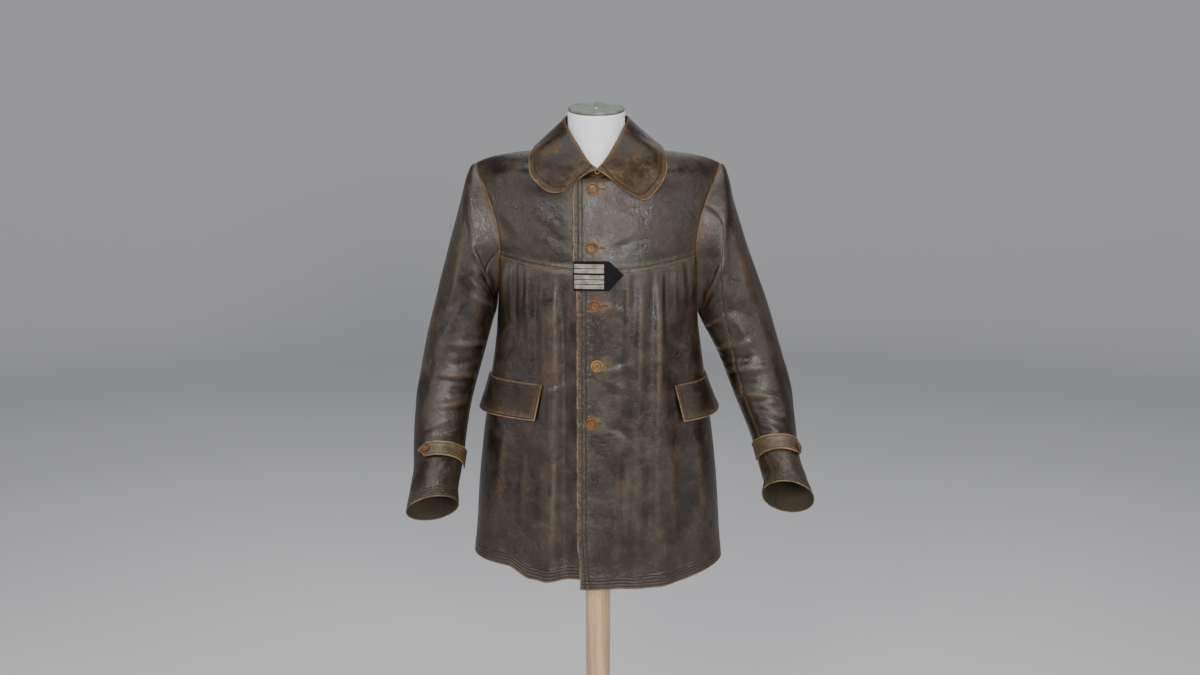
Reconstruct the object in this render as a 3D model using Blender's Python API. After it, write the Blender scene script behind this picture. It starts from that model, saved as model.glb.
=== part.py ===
"""A leather military jacket on a limbless dress form with a pole and a round base.

Metres, +Z up, front towards -Y. Left and right are the wearer's, so the wearer's left is +X.
The origin is on the floor, under the pole.
"""
import math
from collections import namedtuple
from functools import lru_cache

import bmesh
import bpy
from mathutils import Vector

# Driving dimensions of the jacket
LEATHER = 0.0018            # thickness of a body or sleeve panel
DOUBLE_LEATHER = 0.0030     # two layers sewn together: collar, flaps, cuff tabs
SEAM = 0.0003               # gap between neighbouring pieces
SHOULDER_HALF = 0.228       # half width over the shoulder tips
SHOULDER_HEIGHT = 1.404     # height of the shoulder tips
NECK_HALF = 0.068           # half width of the neckline
NECK_POINT_Y = 0.004
NECK_POINT_HEIGHT = 1.433   # where the shoulder seam meets the collar
NECK_FRONT_Y = -0.092
NECK_FRONT_HEIGHT = 1.384
NECK_BACK_Y = 0.066
NECK_BACK_HEIGHT = 1.447
ARMPIT_RIGHT = 1.161
ARMPIT_LEFT = 1.128
FRONT_LAP = 0.0025          # how far the left front stands over the right one
NECK_LAP = 0.0017           # how much further it does at the neckline
HEM_LAP = 0.0012            # and at the hem
NECK_LAP_ROWS = (10.0, 11.5)
HEM_LAP_ROWS = (2.0, 0.5)
LAP_FADE = (0.004, 0.040)   # the lap dies away between these distances past the underlap
UNDERLAP_X = 0.012          # how far the right front runs on under the left one
FREE_EDGE_X = -0.032        # the left front's free edge at the hem
FREE_EDGE_STEP = 0.006      # it runs out this much above the hem, and again at the yoke
FREE_EDGE_YOKE_ROWS = (7.5, 8.4)
SHOULDER_SLOPE = 0.55       # share of the shoulder's fall that is even
SHOULDER_TURN = 6           # power of the rest, which comes near the tip
BODY_HALF_WIDTH = 0.23      # round section that the folds stand out from
BODY_HALF_DEPTH = 0.12

# Buttons and trim
BUTTON_RADIUS = 0.0115
CUFF_BUTTON_RADIUS = 0.0078
BUTTON_THICKNESS = 0.0034
FLAP_DEPTH = 0.068
FLAP_LENGTH = 0.158
FLAP_SEAT = 0.0009          # gap between the top of a flap and the front it is sewn to
BUTTON_SEAT = 0.0006        # room for the thread between a button and the leather
TAB_SEAT = 0.0017           # gap between a cuff tab and its sleeve
RANK_THICKNESS = 0.0022
RANK_LEFT = -0.0435         # the tab's straight end, across
RANK_SHOULDER_X = 0.020     # where its point begins
RANK_TIP_X = 0.046
RANK_TOP = 1.2335
RANK_BOTTOM = 1.1805
RANK_TIP_HEIGHT = 1.2085
RANK_TIP_CUT = 0.985        # share of the way to a sharp point, so that the tip stays blunt
BRAID_THICKNESS = 0.0009
BRAID_HEIGHT = 0.0070
BRAID_LEFT = -0.0420
BRAID_LENGTH = 0.0530
BRAID_TOP = 1.2287          # upper edge of the first braid
BRAID_PITCH = 0.0086
BRAID_GAP = 0.0022          # extra room after the second braid
FLARE_ALONG = 0.7           # powers that shape how a flap stands off along and down it
FLARE_DOWN = 1.2
TAB_POINT_SHARE = 0.86      # share of a cuff tab's length before its point begins
TAB_BLUNT = 0.96            # share of the way to a sharp point

# Dress form
POLE_RADIUS = 0.0240
BASE_RADIUS = 0.175
BASE_THICKNESS = 0.026
FORM_CENTRE_X = -0.003
FORM_NECK_HALF = 0.0520
FORM_NECK_Y = -0.014
FORM_NECK_TOP = 1.5000
FORM_NECK_TILT = math.radians(11)
CAP_THICKNESS = 0.006
BASE_EDGE = 0.006           # slant round the base's rims

# Body sections from the hem to the shoulder: heights at the centre front, centre back and side
# seam, half width, depths at the armhole edges, at the centre front and centre back, how square
# the section is, and how far it arches up between the centre and the armhole.
Section = namedtuple(
    "Section",
    "z_front z_back z_side half side_front side_back front back square arch_front arch_back",
)
SECTIONS = (
    Section(0.655, 0.655, 0.655, 0.2390, 0.000, 0.000, -0.124, 0.120, 2.3, 0, 0),
    Section(0.725, 0.725, 0.725, 0.2335, 0.000, 0.000, -0.121, 0.117, 2.3, 0, 0),
    Section(0.795, 0.795, 0.795, 0.2290, 0.000, 0.000, -0.118, 0.114, 2.3, 0, 0),
    Section(0.870, 0.870, 0.870, 0.2215, 0.000, 0.000, -0.115, 0.111, 2.3, 0, 0),
    Section(0.940, 0.940, 0.940, 0.2125, 0.000, 0.000, -0.113, 0.108, 2.3, 0, 0),
    Section(1.010, 1.010, 1.010, 0.2025, 0.000, 0.000, -0.112, 0.106, 2.3, 0, 0),
    Section(1.080, 1.080, 1.075, 0.1935, 0.000, 0.000, -0.113, 0.108, 2.3, 0, 0),
    Section(1.148, 1.150, 1.161, 0.1870, 0.000, 0.000, -0.115, 0.113, 2.3, 0, 0),
    Section(1.212, 1.225, 1.236, 0.1810, -0.052, 0.055, -0.116, 0.119, 2.3, 0, 0),
    Section(1.272, 1.290, 1.295, 0.1860, -0.058, 0.062, -0.112, 0.119, 2.3, 0, 0.002),
    Section(1.328, 1.352, 1.350, 0.2035, -0.046, 0.050, -0.106, 0.110, 2.2, 0.012, 0.008),
    Section(1.364, 1.408, 1.386, 0.2195, -0.027, 0.030, -0.099, 0.090, 2.2, 0.030, 0.010),
)
FULL_ROUND = 0.435          # power that rounds a section off to its side seam
TOP = len(SECTIONS)         # row of the shoulder seam and the neckline
ARMPIT_ROW = 7
YOKE_ROW = 8
ARMHOLE_POWER = 8           # keeps the rounding of the armhole's bottom close to its edge
ROUND_OVER = (0.28, 0.40)   # shares across between which the surface starts to roll over the shoulder
YOKE_RIGHT_SHARES = (0, 0.12, 0.23, 0.34, 0.45, 0.56, 0.65, 0.72, 0.785, 0.81, 0.84, 0.87, 0.91, 0.955, 1)
YOKE_LEFT_SHARES = (0, 0.04, 0.075, 0.11, 0.15, 0.19, 0.23, 0.26, 0.28, 0.34, 0.40, 0.48, 0.58, 0.68, 0.79, 0.90, 1)
YOKE_BACK_SHARES = (0, 0.07, 0.14, 0.21, 0.28, 0.35, 0.4035, 0.418, 0.435, 0.465, 0.5)
PANEL_ROWS = (0, 0.5, 1, 1.5, 2, 2.5, 3, 3.5, 4, 4.5, 5, 5.5, 6, 6.5)
HALF_YOKE_SEAM = 0.0026     # half the yoke seam's gap, in rows
ARMHOLE_ROWS = (7, 7.03, 7.12, 7.35, 7.67, 8, 8.5, 9, 9.5, 10, 10.5, 11, 11.5, 12)

# How far the front hem drops below the side seam, from the centre to each side
Dip = namedtuple("Dip", "share right left")
HEM_DIPS = (
    Dip(0.00, 0.016, 0.036),
    Dip(0.20, 0.017, 0.035),
    Dip(0.40, 0.023, 0.034),
    Dip(0.56, 0.019, 0.031),
    Dip(0.70, 0.001, 0.026),
    Dip(0.86, -0.002, 0.014),
    Dip(1.00, -0.006, 0.004),
)

# Largest folds: place across at the chest seam and at the hem, half width, height (+ stands out)
Fold = namedtuple("Fold", "x_top x_hem spread height")
FRONT_FOLDS = (
    Fold(-0.150, -0.172, 0.022, -0.0040),
    Fold(-0.090, -0.092, 0.013, 0.0062),
    Fold(-0.062, -0.060, 0.011, -0.0058),
    Fold(0.034, 0.032, 0.018, -0.0030),
    Fold(0.076, 0.070, 0.014, 0.0035),
    Fold(0.112, 0.116, 0.014, 0.0055),
    Fold(0.150, 0.165, 0.020, -0.0048),
)
BACK_FOLDS = (
    Fold(-0.120, -0.150, 0.018, 0.0050),
    Fold(-0.070, -0.088, 0.020, -0.0050),
    Fold(-0.015, -0.020, 0.018, 0.0045),
    Fold(0.040, 0.048, 0.020, -0.0050),
    Fold(0.105, 0.130, 0.018, 0.0055),
)
FOLD_SPREADING = 0.35       # how much wider a fold is at the hem than at the chest seam
FOLD_TOP_ROW = 7.9
FOLD_FULL_ROW = 6.2

# Sleeves from the armhole to the cuff: outer and inner edge as seen from the front, the depth of
# the middle and half the depth of the section.
Ring = namedtuple("Ring", "outer_x outer_z inner_x inner_z middle_y half_depth")
SLEEVE_RIGHT = (
    Ring(-0.2280, 1.404, -0.1820, 1.161, 0.000, 0.060),
    Ring(-0.2415, 1.386, -0.1895, 1.153, 0.001, 0.066),
    Ring(-0.2561, 1.335, -0.1900, 1.143, 0.002, 0.070),
    Ring(-0.2760, 1.265, -0.1920, 1.129, 0.002, 0.070),
    Ring(-0.2930, 1.202, -0.1975, 1.113, 0.001, 0.067),
    Ring(-0.3090, 1.140, -0.2050, 1.086, -0.001, 0.063),
    Ring(-0.3235, 1.083, -0.2155, 1.048, -0.004, 0.060),
    Ring(-0.3350, 1.022, -0.2300, 0.996, -0.012, 0.057),
    Ring(-0.3430, 0.970, -0.2400, 0.955, -0.025, 0.055),
    Ring(-0.3460, 0.913, -0.2470, 0.908, -0.046, 0.053),
    Ring(-0.3450, 0.868, -0.2505, 0.872, -0.070, 0.050),
    Ring(-0.3420, 0.838, -0.2535, 0.850, -0.094, 0.047),
    Ring(-0.3455, 0.802, -0.2580, 0.822, -0.122, 0.046),
    Ring(-0.3490, 0.770, -0.2560, 0.796, -0.146, 0.048),
)
SLEEVE_LEFT = (
    Ring(0.2280, 1.404, 0.1850, 1.128, 0.000, 0.060),
    Ring(0.2400, 1.386, 0.1900, 1.122, 0.001, 0.067),
    Ring(0.2535, 1.335, 0.1945, 1.112, 0.002, 0.071),
    Ring(0.2765, 1.263, 0.2010, 1.098, 0.002, 0.070),
    Ring(0.2965, 1.208, 0.2105, 1.082, 0.001, 0.067),
    Ring(0.3185, 1.148, 0.2200, 1.064, -0.001, 0.063),
    Ring(0.3380, 1.085, 0.2330, 1.036, -0.004, 0.060),
    Ring(0.3540, 1.028, 0.2480, 0.998, -0.012, 0.057),
    Ring(0.3660, 0.973, 0.2640, 0.957, -0.025, 0.055),
    Ring(0.3715, 0.922, 0.2820, 0.915, -0.046, 0.053),
    Ring(0.3735, 0.878, 0.2935, 0.882, -0.070, 0.050),
    Ring(0.3765, 0.848, 0.3000, 0.856, -0.094, 0.047),
    Ring(0.3835, 0.818, 0.3065, 0.836, -0.122, 0.046),
    Ring(0.3920, 0.790, 0.3020, 0.820, -0.146, 0.048),
)
SLEEVE_ROWS = len(SLEEVE_RIGHT) - 1
SLEEVE_EASE = 0.003         # how far the sleeve head is eased out just past the armhole seam
SEAM_DRIFT = math.radians(36)   # how far the front sleeve seam turns inwards down to the cuff
SEAM_SPREAD = math.radians(50)
SLEEVE_SEAM_ANGLE = 0.0085      # gap of the sleeve seams, as an angle round the sleeve
HEAD_TURN = (80, 45)        # degrees from the sleeve's top between which its head turns to the panel

MATERIALS = {
    "leather": ((0.085, 0.060, 0.042), 0.42, 0.0),
    "collar_leather": ((0.130, 0.078, 0.030), 0.55, 0.0),
    "horn": ((0.300, 0.130, 0.040), 0.35, 0.0),
    "tab_cloth": ((0.008, 0.008, 0.009), 0.85, 0.0),
    "braid": ((0.420, 0.400, 0.340), 0.60, 0.2),
    "jersey": ((0.850, 0.840, 0.850), 0.90, 0.0),
    "cap": ((0.300, 0.330, 0.300), 0.70, 0.0),
    "wood": ((0.640, 0.430, 0.240), 0.50, 0.0),
}


def clear_scene():
    for item in list(bpy.data.objects):
        bpy.data.objects.remove(item, do_unlink=True)


def material(name):
    made = bpy.data.materials.get(name)
    if made is None:
        colour, roughness, metallic = MATERIALS[name]
        made = bpy.data.materials.new(name)
        made.use_nodes = True
        shader = made.node_tree.nodes["Principled BSDF"]
        shader.inputs["Base Color"].default_value = (*colour, 1.0)
        shader.inputs["Roughness"].default_value = roughness
        shader.inputs["Metallic"].default_value = metallic
    return made


def smooth(low, high, value):
    """0 below low, 1 above high, and a soft step between them."""
    share = min(max((value - low) / (high - low), 0.0), 1.0)
    return share * share * (3.0 - 2.0 * share)


def between(rows, column, place, value):
    """Reads a short table: its value column at a place along its place column."""
    last = rows[0]
    for row in rows[1:]:
        if getattr(row, column) >= place:
            span = getattr(row, column) - getattr(last, column)
            share = min(max((place - getattr(last, column)) / span, 0.0), 1.0)
            return getattr(last, value) + share * (getattr(row, value) - getattr(last, value))
        last = row
    return getattr(last, value)


def curve_through(values, place):
    """A smooth curve through evenly numbered values (numbers or vectors), read at a place."""
    last = len(values) - 1
    place = min(max(place, 0.0), float(last))
    index = min(int(place), last - 1)
    share = place - index
    start, end = values[index], values[index + 1]
    before = values[index - 1] if index else start * 2 - end
    after = values[index + 2] if index + 2 <= last else end * 2 - start
    slope_start = (end - before) * 0.5
    slope_end = (after - start) * 0.5
    square, cube = share * share, share ** 3
    return (
        start * (2 * cube - 3 * square + 1)
        + slope_start * (cube - 2 * square + share)
        + end * (3 * square - 2 * cube)
        + slope_end * (cube - square)
    )


# The body: one smooth surface for the front and one for the back. across runs from -1 at the
# right side seam or armhole to 1 at the left one, row from 0 at the hem to TOP at the shoulder.
# A face is "front" or "back"; "left" and "right" are the fronts where their hems cross over.
def section_point(face, index, across, round_sides):
    """A point of one section; with round sides it meets the other face at the side seam."""
    row = SECTIONS[index]
    share = abs(across)
    front = face != "back"
    middle_z = row.z_front if front else row.z_back
    side_z = row.z_side
    if index == ARMPIT_ROW:
        side_z = ARMPIT_RIGHT if across < 0 else ARMPIT_LEFT
    side_y = row.side_front if front else row.side_back
    middle_y = row.front if front else row.back
    arch = row.arch_front if front else row.arch_back
    if round_sides:
        side_y = 0.0
    meet = FULL_ROUND if round_sides else 1.0
    depth = max(1.0 - share ** row.square, 0.0) ** meet
    height = middle_z + (side_z - middle_z) * share ** 2 + 4 * arch * share * (1 - share)
    if index == 0 and front:
        panel = face if face in ("left", "right") else "right" if across < 0 else "left"
        height -= between(HEM_DIPS, "share", share, panel)
    return Vector((across * row.half, side_y + (middle_y - side_y) * depth, height))


def top_point(face, across):
    """The neckline, then the shoulder seam out to its tip."""
    share = abs(across)
    neck_share = NECK_HALF / SHOULDER_HALF
    x = across * SHOULDER_HALF
    if share < neck_share:
        middle_y = NECK_FRONT_Y if face != "back" else NECK_BACK_Y
        middle_z = NECK_FRONT_HEIGHT if face != "back" else NECK_BACK_HEIGHT
        depth = math.sqrt(max(1.0 - (share / neck_share) ** 2, 0.0))
        y = NECK_POINT_Y + (middle_y - NECK_POINT_Y) * depth
        return Vector((x, y, NECK_POINT_HEIGHT + (middle_z - NECK_POINT_HEIGHT) * depth))
    out = (share - neck_share) / (1.0 - neck_share)
    fall = SHOULDER_SLOPE * out + (1.0 - SHOULDER_SLOPE) * out ** SHOULDER_TURN
    z = NECK_POINT_HEIGHT + (SHOULDER_HEIGHT - NECK_POINT_HEIGHT) * fall
    return Vector((x, NECK_POINT_Y * (1.0 - out), z))


def fold_height(face, point, row):
    """How far the folds push the cloth out at a point of the body."""
    strength = smooth(FOLD_TOP_ROW, FOLD_FULL_ROW, row)
    if strength == 0.0:
        return 0.0
    down = 1.0 - row / YOKE_ROW
    total = 0.0
    for fold in BACK_FOLDS if face == "back" else FRONT_FOLDS:
        middle = fold.x_top + (fold.x_hem - fold.x_top) * down
        spread = fold.spread * (1.0 + FOLD_SPREADING * down)
        total += fold.height * math.exp(-((point.x - middle) / spread) ** 2)
    return total * strength


def armhole_round(face, across, row):
    """Rounds the bottom of the armhole, which would come to a point at the side seam."""
    if not ARMPIT_ROW < row < YOKE_ROW:
        return 0.0
    column = "side_back" if face == "back" else "side_front"
    sides = [0.0] * YOKE_ROW + [getattr(section, column) for section in SECTIONS[YOKE_ROW:]]
    left = YOKE_ROW - row
    wanted = sides[YOKE_ROW] * math.sqrt(1.0 - left * left)
    return (wanted - curve_through(sides, row)) * abs(across) ** ARMHOLE_POWER


def body_point(face, across, row):
    across = min(max(across, -1.0), 1.0)
    row = min(max(row, 0.0), float(TOP))
    round_rows = TOP if row < ARMPIT_ROW else ARMPIT_ROW + 1 if row < YOKE_ROW else ARMPIT_ROW
    points = [section_point(face, index, across, index < round_rows) for index in range(TOP)]
    points.append(top_point(face, across))
    beyond = points[-1] * 2 - points[-2]
    over = Vector((points[-2].x, 2 * points[-1].y - points[-2].y, points[-2].z))
    rounding = smooth(*ROUND_OVER, abs(across))
    points.append(beyond.lerp(over, rounding))
    point = curve_through(points, row)
    out = Vector((point.x / BODY_HALF_WIDTH ** 2, point.y / BODY_HALF_DEPTH ** 2, 0.0)).normalized()
    point += out * fold_height(face, point, row)
    point.y += armhole_round(face, across, row)
    point.y += SEAM / 2 if face == "back" else -SEAM / 2
    return point


def normal_of(surface, u, v, step_u, step_v):
    """The direction out of a surface, given by the turn from its first to its second way."""
    first = surface(u + step_u, v) - surface(u - step_u, v)
    second = surface(u, v + step_v) - surface(u, v - step_v)
    return first.cross(second).normalized()


def body(face, across, row):
    """Point and outward normal of the body's outer face."""
    point = body_point(face, across, row)
    stride = max(0.010 * (1.0 - abs(across)), 0.0004)
    normal = normal_of(lambda a, b: body_point(face, a, b), across, row, stride, 0.05)
    if face == "back":
        normal.negate()
    return point, normal


def across_at(angle):
    """Spaces columns evenly round the body: 0 is the middle, 1 the side."""
    return math.sin(angle * math.pi / 2)


def half_width(row):
    halves = [section.half for section in SECTIONS] + [SHOULDER_HALF]
    return curve_through(halves, row)


def free_edge_x(row):
    """Where the left front's free edge lies over the right front."""
    steps_out = smooth(0.0, 1.0, row) + smooth(*FREE_EDGE_YOKE_ROWS, row)
    return FREE_EDGE_X - FREE_EDGE_STEP * steps_out


def lap_at(x, row):
    """How far the left front stands out over the right one."""
    full = FRONT_LAP + NECK_LAP * smooth(*NECK_LAP_ROWS, row) + HEM_LAP * smooth(*HEM_LAP_ROWS, row)
    return full * (1.0 - smooth(*LAP_FADE, x - UNDERLAP_X))


def left_front(share, row):
    """The left front, from its free edge to its side; it stands over the right front."""
    start = -math.asin(-free_edge_x(row) / half_width(row)) * 2 / math.pi
    across = across_at(start + (1.0 - start) * share)
    point, normal = body("left", across, row)
    return point + normal * lap_at(point.x, row), normal


def right_front(share, row):
    """The right front, from its side to the edge under the left front."""
    end = math.asin(UNDERLAP_X / half_width(row)) * 2 / math.pi
    across = across_at(-1.0 + (1.0 + end) * share)
    return body("right", across, row)


def back_body(share, row):
    return body("back", across_at(1.0 - 2.0 * share), row)


def body_at(face, x, wanted, use="z"):
    """Point and normal on the front or back for a place across and a height, or a depth."""
    low, high = (0.0, float(TOP)) if use == "z" else (TOP - 1.5, float(TOP))
    for _ in range(40):
        row = (low + high) / 2
        point = body_point(face, x / half_width(row), row)
        reached = point.z > wanted if use == "z" else abs(point.y) < abs(wanted)
        if reached:
            high = row
        else:
            low = row
    return body(face, x / half_width(row), row), row


def front_at(x, z):
    """Point and normal on the outer front, on top of the lap, for a place seen from the front."""
    (point, normal), row = body_at("front", x, z)
    return point + normal * lap_at(x, row), normal


# Building blocks
def finish(name, mesh_data, material_name, smooth_angle=40):
    """Turns a bmesh into a named object with its faces out, shaded smooth."""
    bmesh.ops.remove_doubles(mesh_data, verts=mesh_data.verts, dist=0.00002)
    bmesh.ops.recalc_face_normals(mesh_data, faces=mesh_data.faces)
    if mesh_data.calc_volume(signed=True) < 0:
        bmesh.ops.reverse_faces(mesh_data, faces=mesh_data.faces)
    mesh = bpy.data.meshes.new(name)
    mesh_data.to_mesh(mesh)
    mesh_data.free()
    mesh.materials.append(material(material_name))
    mesh.shade_smooth()
    mesh.set_sharp_from_angle(angle=math.radians(smooth_angle))
    made = bpy.data.objects.new(name, mesh)
    bpy.context.collection.objects.link(made)
    return made


def wall(name, surface, us, vs, thickness, material_name, lift=0.0):
    """A closed wall: its outer face lies lift above a surface, its inner face a thickness below."""
    mesh_data = bmesh.new()
    outer, inner = [], []
    for u in us:
        outer_row, inner_row = [], []
        for v in vs:
            point, normal = surface(u, v)
            outer_row.append(mesh_data.verts.new(point + normal * lift))
            inner_row.append(mesh_data.verts.new(point + normal * (lift - thickness)))
        outer.append(outer_row)
        inner.append(inner_row)
    last_u, last_v = len(us) - 1, len(vs) - 1
    for i in range(last_u):
        for j in range(last_v):
            corners = ((i, j), (i + 1, j), (i + 1, j + 1), (i, j + 1))
            first, second, third, fourth = (outer[m][n].co for m, n in corners)
            halves = ((0, 1, 2), (0, 2, 3))
            if (second - fourth).length < (first - third).length:
                halves = ((0, 1, 3), (1, 2, 3))
            for half in halves:
                places = [corners[corner] for corner in half]
                mesh_data.faces.new([outer[m][n] for m, n in places])
                mesh_data.faces.new([inner[m][n] for m, n in reversed(places)])
    for j in range(last_v):
        mesh_data.faces.new((outer[0][j], outer[0][j + 1], inner[0][j + 1], inner[0][j]))
        mesh_data.faces.new(
            (outer[last_u][j + 1], outer[last_u][j], inner[last_u][j], inner[last_u][j + 1])
        )
    for i in range(last_u):
        mesh_data.faces.new((outer[i + 1][0], outer[i][0], inner[i][0], inner[i + 1][0]))
        mesh_data.faces.new(
            (outer[i][last_v], outer[i + 1][last_v], inner[i + 1][last_v], inner[i][last_v])
        )
    return finish(name, mesh_data, material_name)


def steps(count, start=0.0, end=1.0):
    return [start + (end - start) * index / count for index in range(count + 1)]


def bridge(mesh_data, low, high):
    """Joins two closed loops of as many points with faces."""
    for index in range(len(low)):
        after = (index + 1) % len(low)
        mesh_data.faces.new((low[index], low[after], high[after], high[index]))


def turned(name, profile, place, axis, material_name, sides=20):
    """A solid turned round an axis from a profile of (radius, height) pairs, bottom to top."""
    mesh_data = bmesh.new()
    turn = Vector((0, 0, 1)).rotation_difference(axis)
    rings = []
    for radius, height in profile:
        ring = []
        for index in range(sides):
            angle = 2 * math.pi * index / sides
            local = Vector((radius * math.cos(angle), radius * math.sin(angle), height))
            ring.append(mesh_data.verts.new(place + turn @ local))
        rings.append(ring)
    for low, high in zip(rings, rings[1:]):
        bridge(mesh_data, low, high)
    mesh_data.faces.new(rings[0][::-1])
    mesh_data.faces.new(rings[-1])
    return finish(name, mesh_data, material_name)


# Fronts and back
def make_fronts():
    lower = list(PANEL_ROWS) + [row for row in ARMHOLE_ROWS if row < YOKE_ROW] + [YOKE_ROW - HALF_YOKE_SEAM]
    upper = [YOKE_ROW + HALF_YOKE_SEAM] + [row for row in ARMHOLE_ROWS if row > YOKE_ROW]
    wall("front_right", right_front, steps(13), lower, LEATHER, "leather")
    wall("front_left", left_front, steps(14), lower, LEATHER, "leather")
    wall("front_yoke_right", right_front, YOKE_RIGHT_SHARES, upper, LEATHER, "leather")
    wall("front_yoke_left", left_front, YOKE_LEFT_SHARES, upper, LEATHER, "leather")
    back_lower = [row for row in lower if row * 2 == int(row * 2) or row > ARMPIT_ROW]
    wall("back", back_body, steps(20), back_lower, LEATHER, "leather")
    mirrored = [1.0 - share for share in reversed(YOKE_BACK_SHARES[:-1])]
    wall("back_yoke", back_body, list(YOKE_BACK_SHARES) + mirrored, upper, LEATHER, "leather")


# Sleeves: angle runs from the outer edge (0) round the front (90 degrees) and the inner edge
# (180 degrees) to the back, row from 0 at the armhole to SLEEVE_ROWS at the cuff.
def sleeve_middle(rings, row):
    middles = [
        Vector(((r.outer_x + r.inner_x) / 2, r.middle_y, (r.outer_z + r.inner_z) / 2)) for r in rings
    ]
    return curve_through(middles, row)


def side_of(rings):
    return 1.0 if rings is SLEEVE_LEFT else -1.0


def armhole_angle(rings, row):
    """The sleeve's angle at a row of the armhole edge, on the front half."""
    top, bottom = rings[0].outer_z, rings[0].inner_z
    share = (2 * body_point("front", side_of(rings), row).z - top - bottom) / (top - bottom)
    return math.acos(min(max(share, -1.0), 1.0))


@lru_cache(maxsize=None)
def armhole_edge(rings, angle):
    """Point and normal of the body's armhole edge where the sleeve's angle meets it."""
    turn = angle % (2 * math.pi)
    face = "front" if turn <= math.pi else "back"
    wanted = turn if turn <= math.pi else 2 * math.pi - turn
    low, high = float(ARMPIT_ROW), float(TOP)
    for _ in range(30):
        row = (low + high) / 2
        if armhole_angle(rings, row) > wanted:
            low = row
        else:
            high = row
    side = side_of(rings)
    return body_point(face, side, row), body(face, side * 0.999, row)[1]


def sleeve_point(rings, angle, row):
    row = min(max(row, 0.0), float(SLEEVE_ROWS))
    middle = sleeve_middle(rings, row)
    along = sleeve_middle(rings, row + 0.05) - sleeve_middle(rings, row - 0.05)
    spans = [Vector(((r.outer_x - r.inner_x) / 2, 0, (r.outer_z - r.inner_z) / 2)) for r in rings]
    outward = curve_through(spans, row)
    depth = curve_through([r.half_depth for r in rings], row)
    forward = along.cross(outward).normalized()
    if forward.y > 0:
        forward.negate()
    tube = middle + outward * math.cos(angle) + forward * depth * math.sin(angle)
    if row >= 1.0:
        return tube
    under = smooth(1.2, 0.0, abs(angle % (2 * math.pi) - math.pi))
    seam = Vector((side_of(rings) * SEAM * (1.0 + under), 0, -SEAM * under))
    edge = armhole_edge(rings, angle)[0] + seam
    ease = Vector((side_of(rings) * SLEEVE_EASE * math.sin(math.pi * row), 0, 0))
    return edge.lerp(tube, row) + ease


def sleeve(rings, angle, row):
    point = sleeve_point(rings, angle, row)
    normal = normal_of(lambda a, b: sleeve_point(rings, a, b), angle, row, 0.02, 0.05)
    outward = point - sleeve_middle(rings, row)
    if normal.dot(outward) < 0:
        normal.negate()
    if row < 1.0:
        from_top = abs((angle + math.pi) % (2 * math.pi) - math.pi)
        over = smooth(math.radians(HEAD_TURN[0]), math.radians(HEAD_TURN[1]), from_top)
        panel = armhole_edge(rings, angle)[1]
        tube = sleeve(rings, angle, 1.0)[1]
        at_seam = tube.lerp(panel, over).normalized()
        normal = at_seam.lerp(tube, smooth(0.0, 1.0, row)).normalized()
    return point, normal


def drifted(rings, angle, row):
    """Turns the columns with the front seam, which moves to the inner edge down the sleeve."""
    seam = armhole_angle(rings, YOKE_ROW)
    turn = angle % (2 * math.pi)
    near = math.exp(-((turn - seam) / SEAM_SPREAD) ** 2)
    return angle + SEAM_DRIFT * near * smooth(1.0, 8.0, row)


def make_sleeves():
    gap = SLEEVE_SEAM_ANGLE
    rows = [0, 0.4] + list(range(1, SLEEVE_ROWS + 1))
    for side, rings in (("right", SLEEVE_RIGHT), ("left", SLEEVE_LEFT)):
        turn = 2 * math.pi
        front = [armhole_angle(rings, row) for row in reversed(ARMHOLE_ROWS)]
        angles = front + [turn - angle for angle in reversed(front[1:-1])]
        front_seam = armhole_angle(rings, YOKE_ROW)
        back_seam = turn - front_seam
        clear = 2 * gap
        under = [front_seam + gap / 2]
        under += [angle for angle in angles if front_seam + clear < angle < back_seam - clear]
        under += [back_seam - gap / 2]
        top = [back_seam + gap / 2]
        top += [angle for angle in angles if angle > back_seam + clear]
        top += [angle + turn for angle in angles if angle < front_seam - clear]
        top += [front_seam + turn - gap / 2]
        surface = lambda a, r, rings=rings: sleeve(rings, drifted(rings, a, r), r)
        wall(f"sleeve_under_{side}", surface, under, rows, LEATHER, "leather")
        wall(f"sleeve_top_{side}", surface, top, rows, LEATHER, "leather")


# Collar: the fall lies over the yokes, the stand holds it up inside. Each row is half the collar
# from the front end round to the centre back: the fold line, then the outer edge, which lies on
# the front or the back at a height, or on top of the shoulder at a depth.
FRONT, BACK = "front", "back"
Leaf = namedtuple("Leaf", "fold_x fold_y fold_z edge_x edge_z edge_place")
LEAF_RIGHT = (
    Leaf(-0.003, -0.0990, 1.3980, -0.040, 1.3725, FRONT),
    Leaf(-0.008, -0.0975, 1.4020, -0.062, 1.3600, FRONT),
    Leaf(-0.016, -0.0930, 1.4100, -0.084, 1.3580, FRONT),
    Leaf(-0.026, -0.0840, 1.4230, -0.104, 1.3720, FRONT),
    Leaf(-0.037, -0.0700, 1.4400, -0.118, 1.3880, FRONT),
    Leaf(-0.0510, -0.0510, 1.4600, -0.122, 1.4080, FRONT),
    Leaf(-0.0600, -0.0250, 1.4760, -0.118, None, -0.022),
    Leaf(-0.0630, 0.0050, 1.4860, -0.114, None, 0.024),
    Leaf(-0.0575, 0.0360, 1.4900, -0.102, 1.4080, BACK),
    Leaf(-0.0330, 0.0570, 1.4900, -0.070, 1.3920, BACK),
    Leaf(0.0, 0.0640, 1.4900, 0.0, 1.3860, BACK),
)
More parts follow.
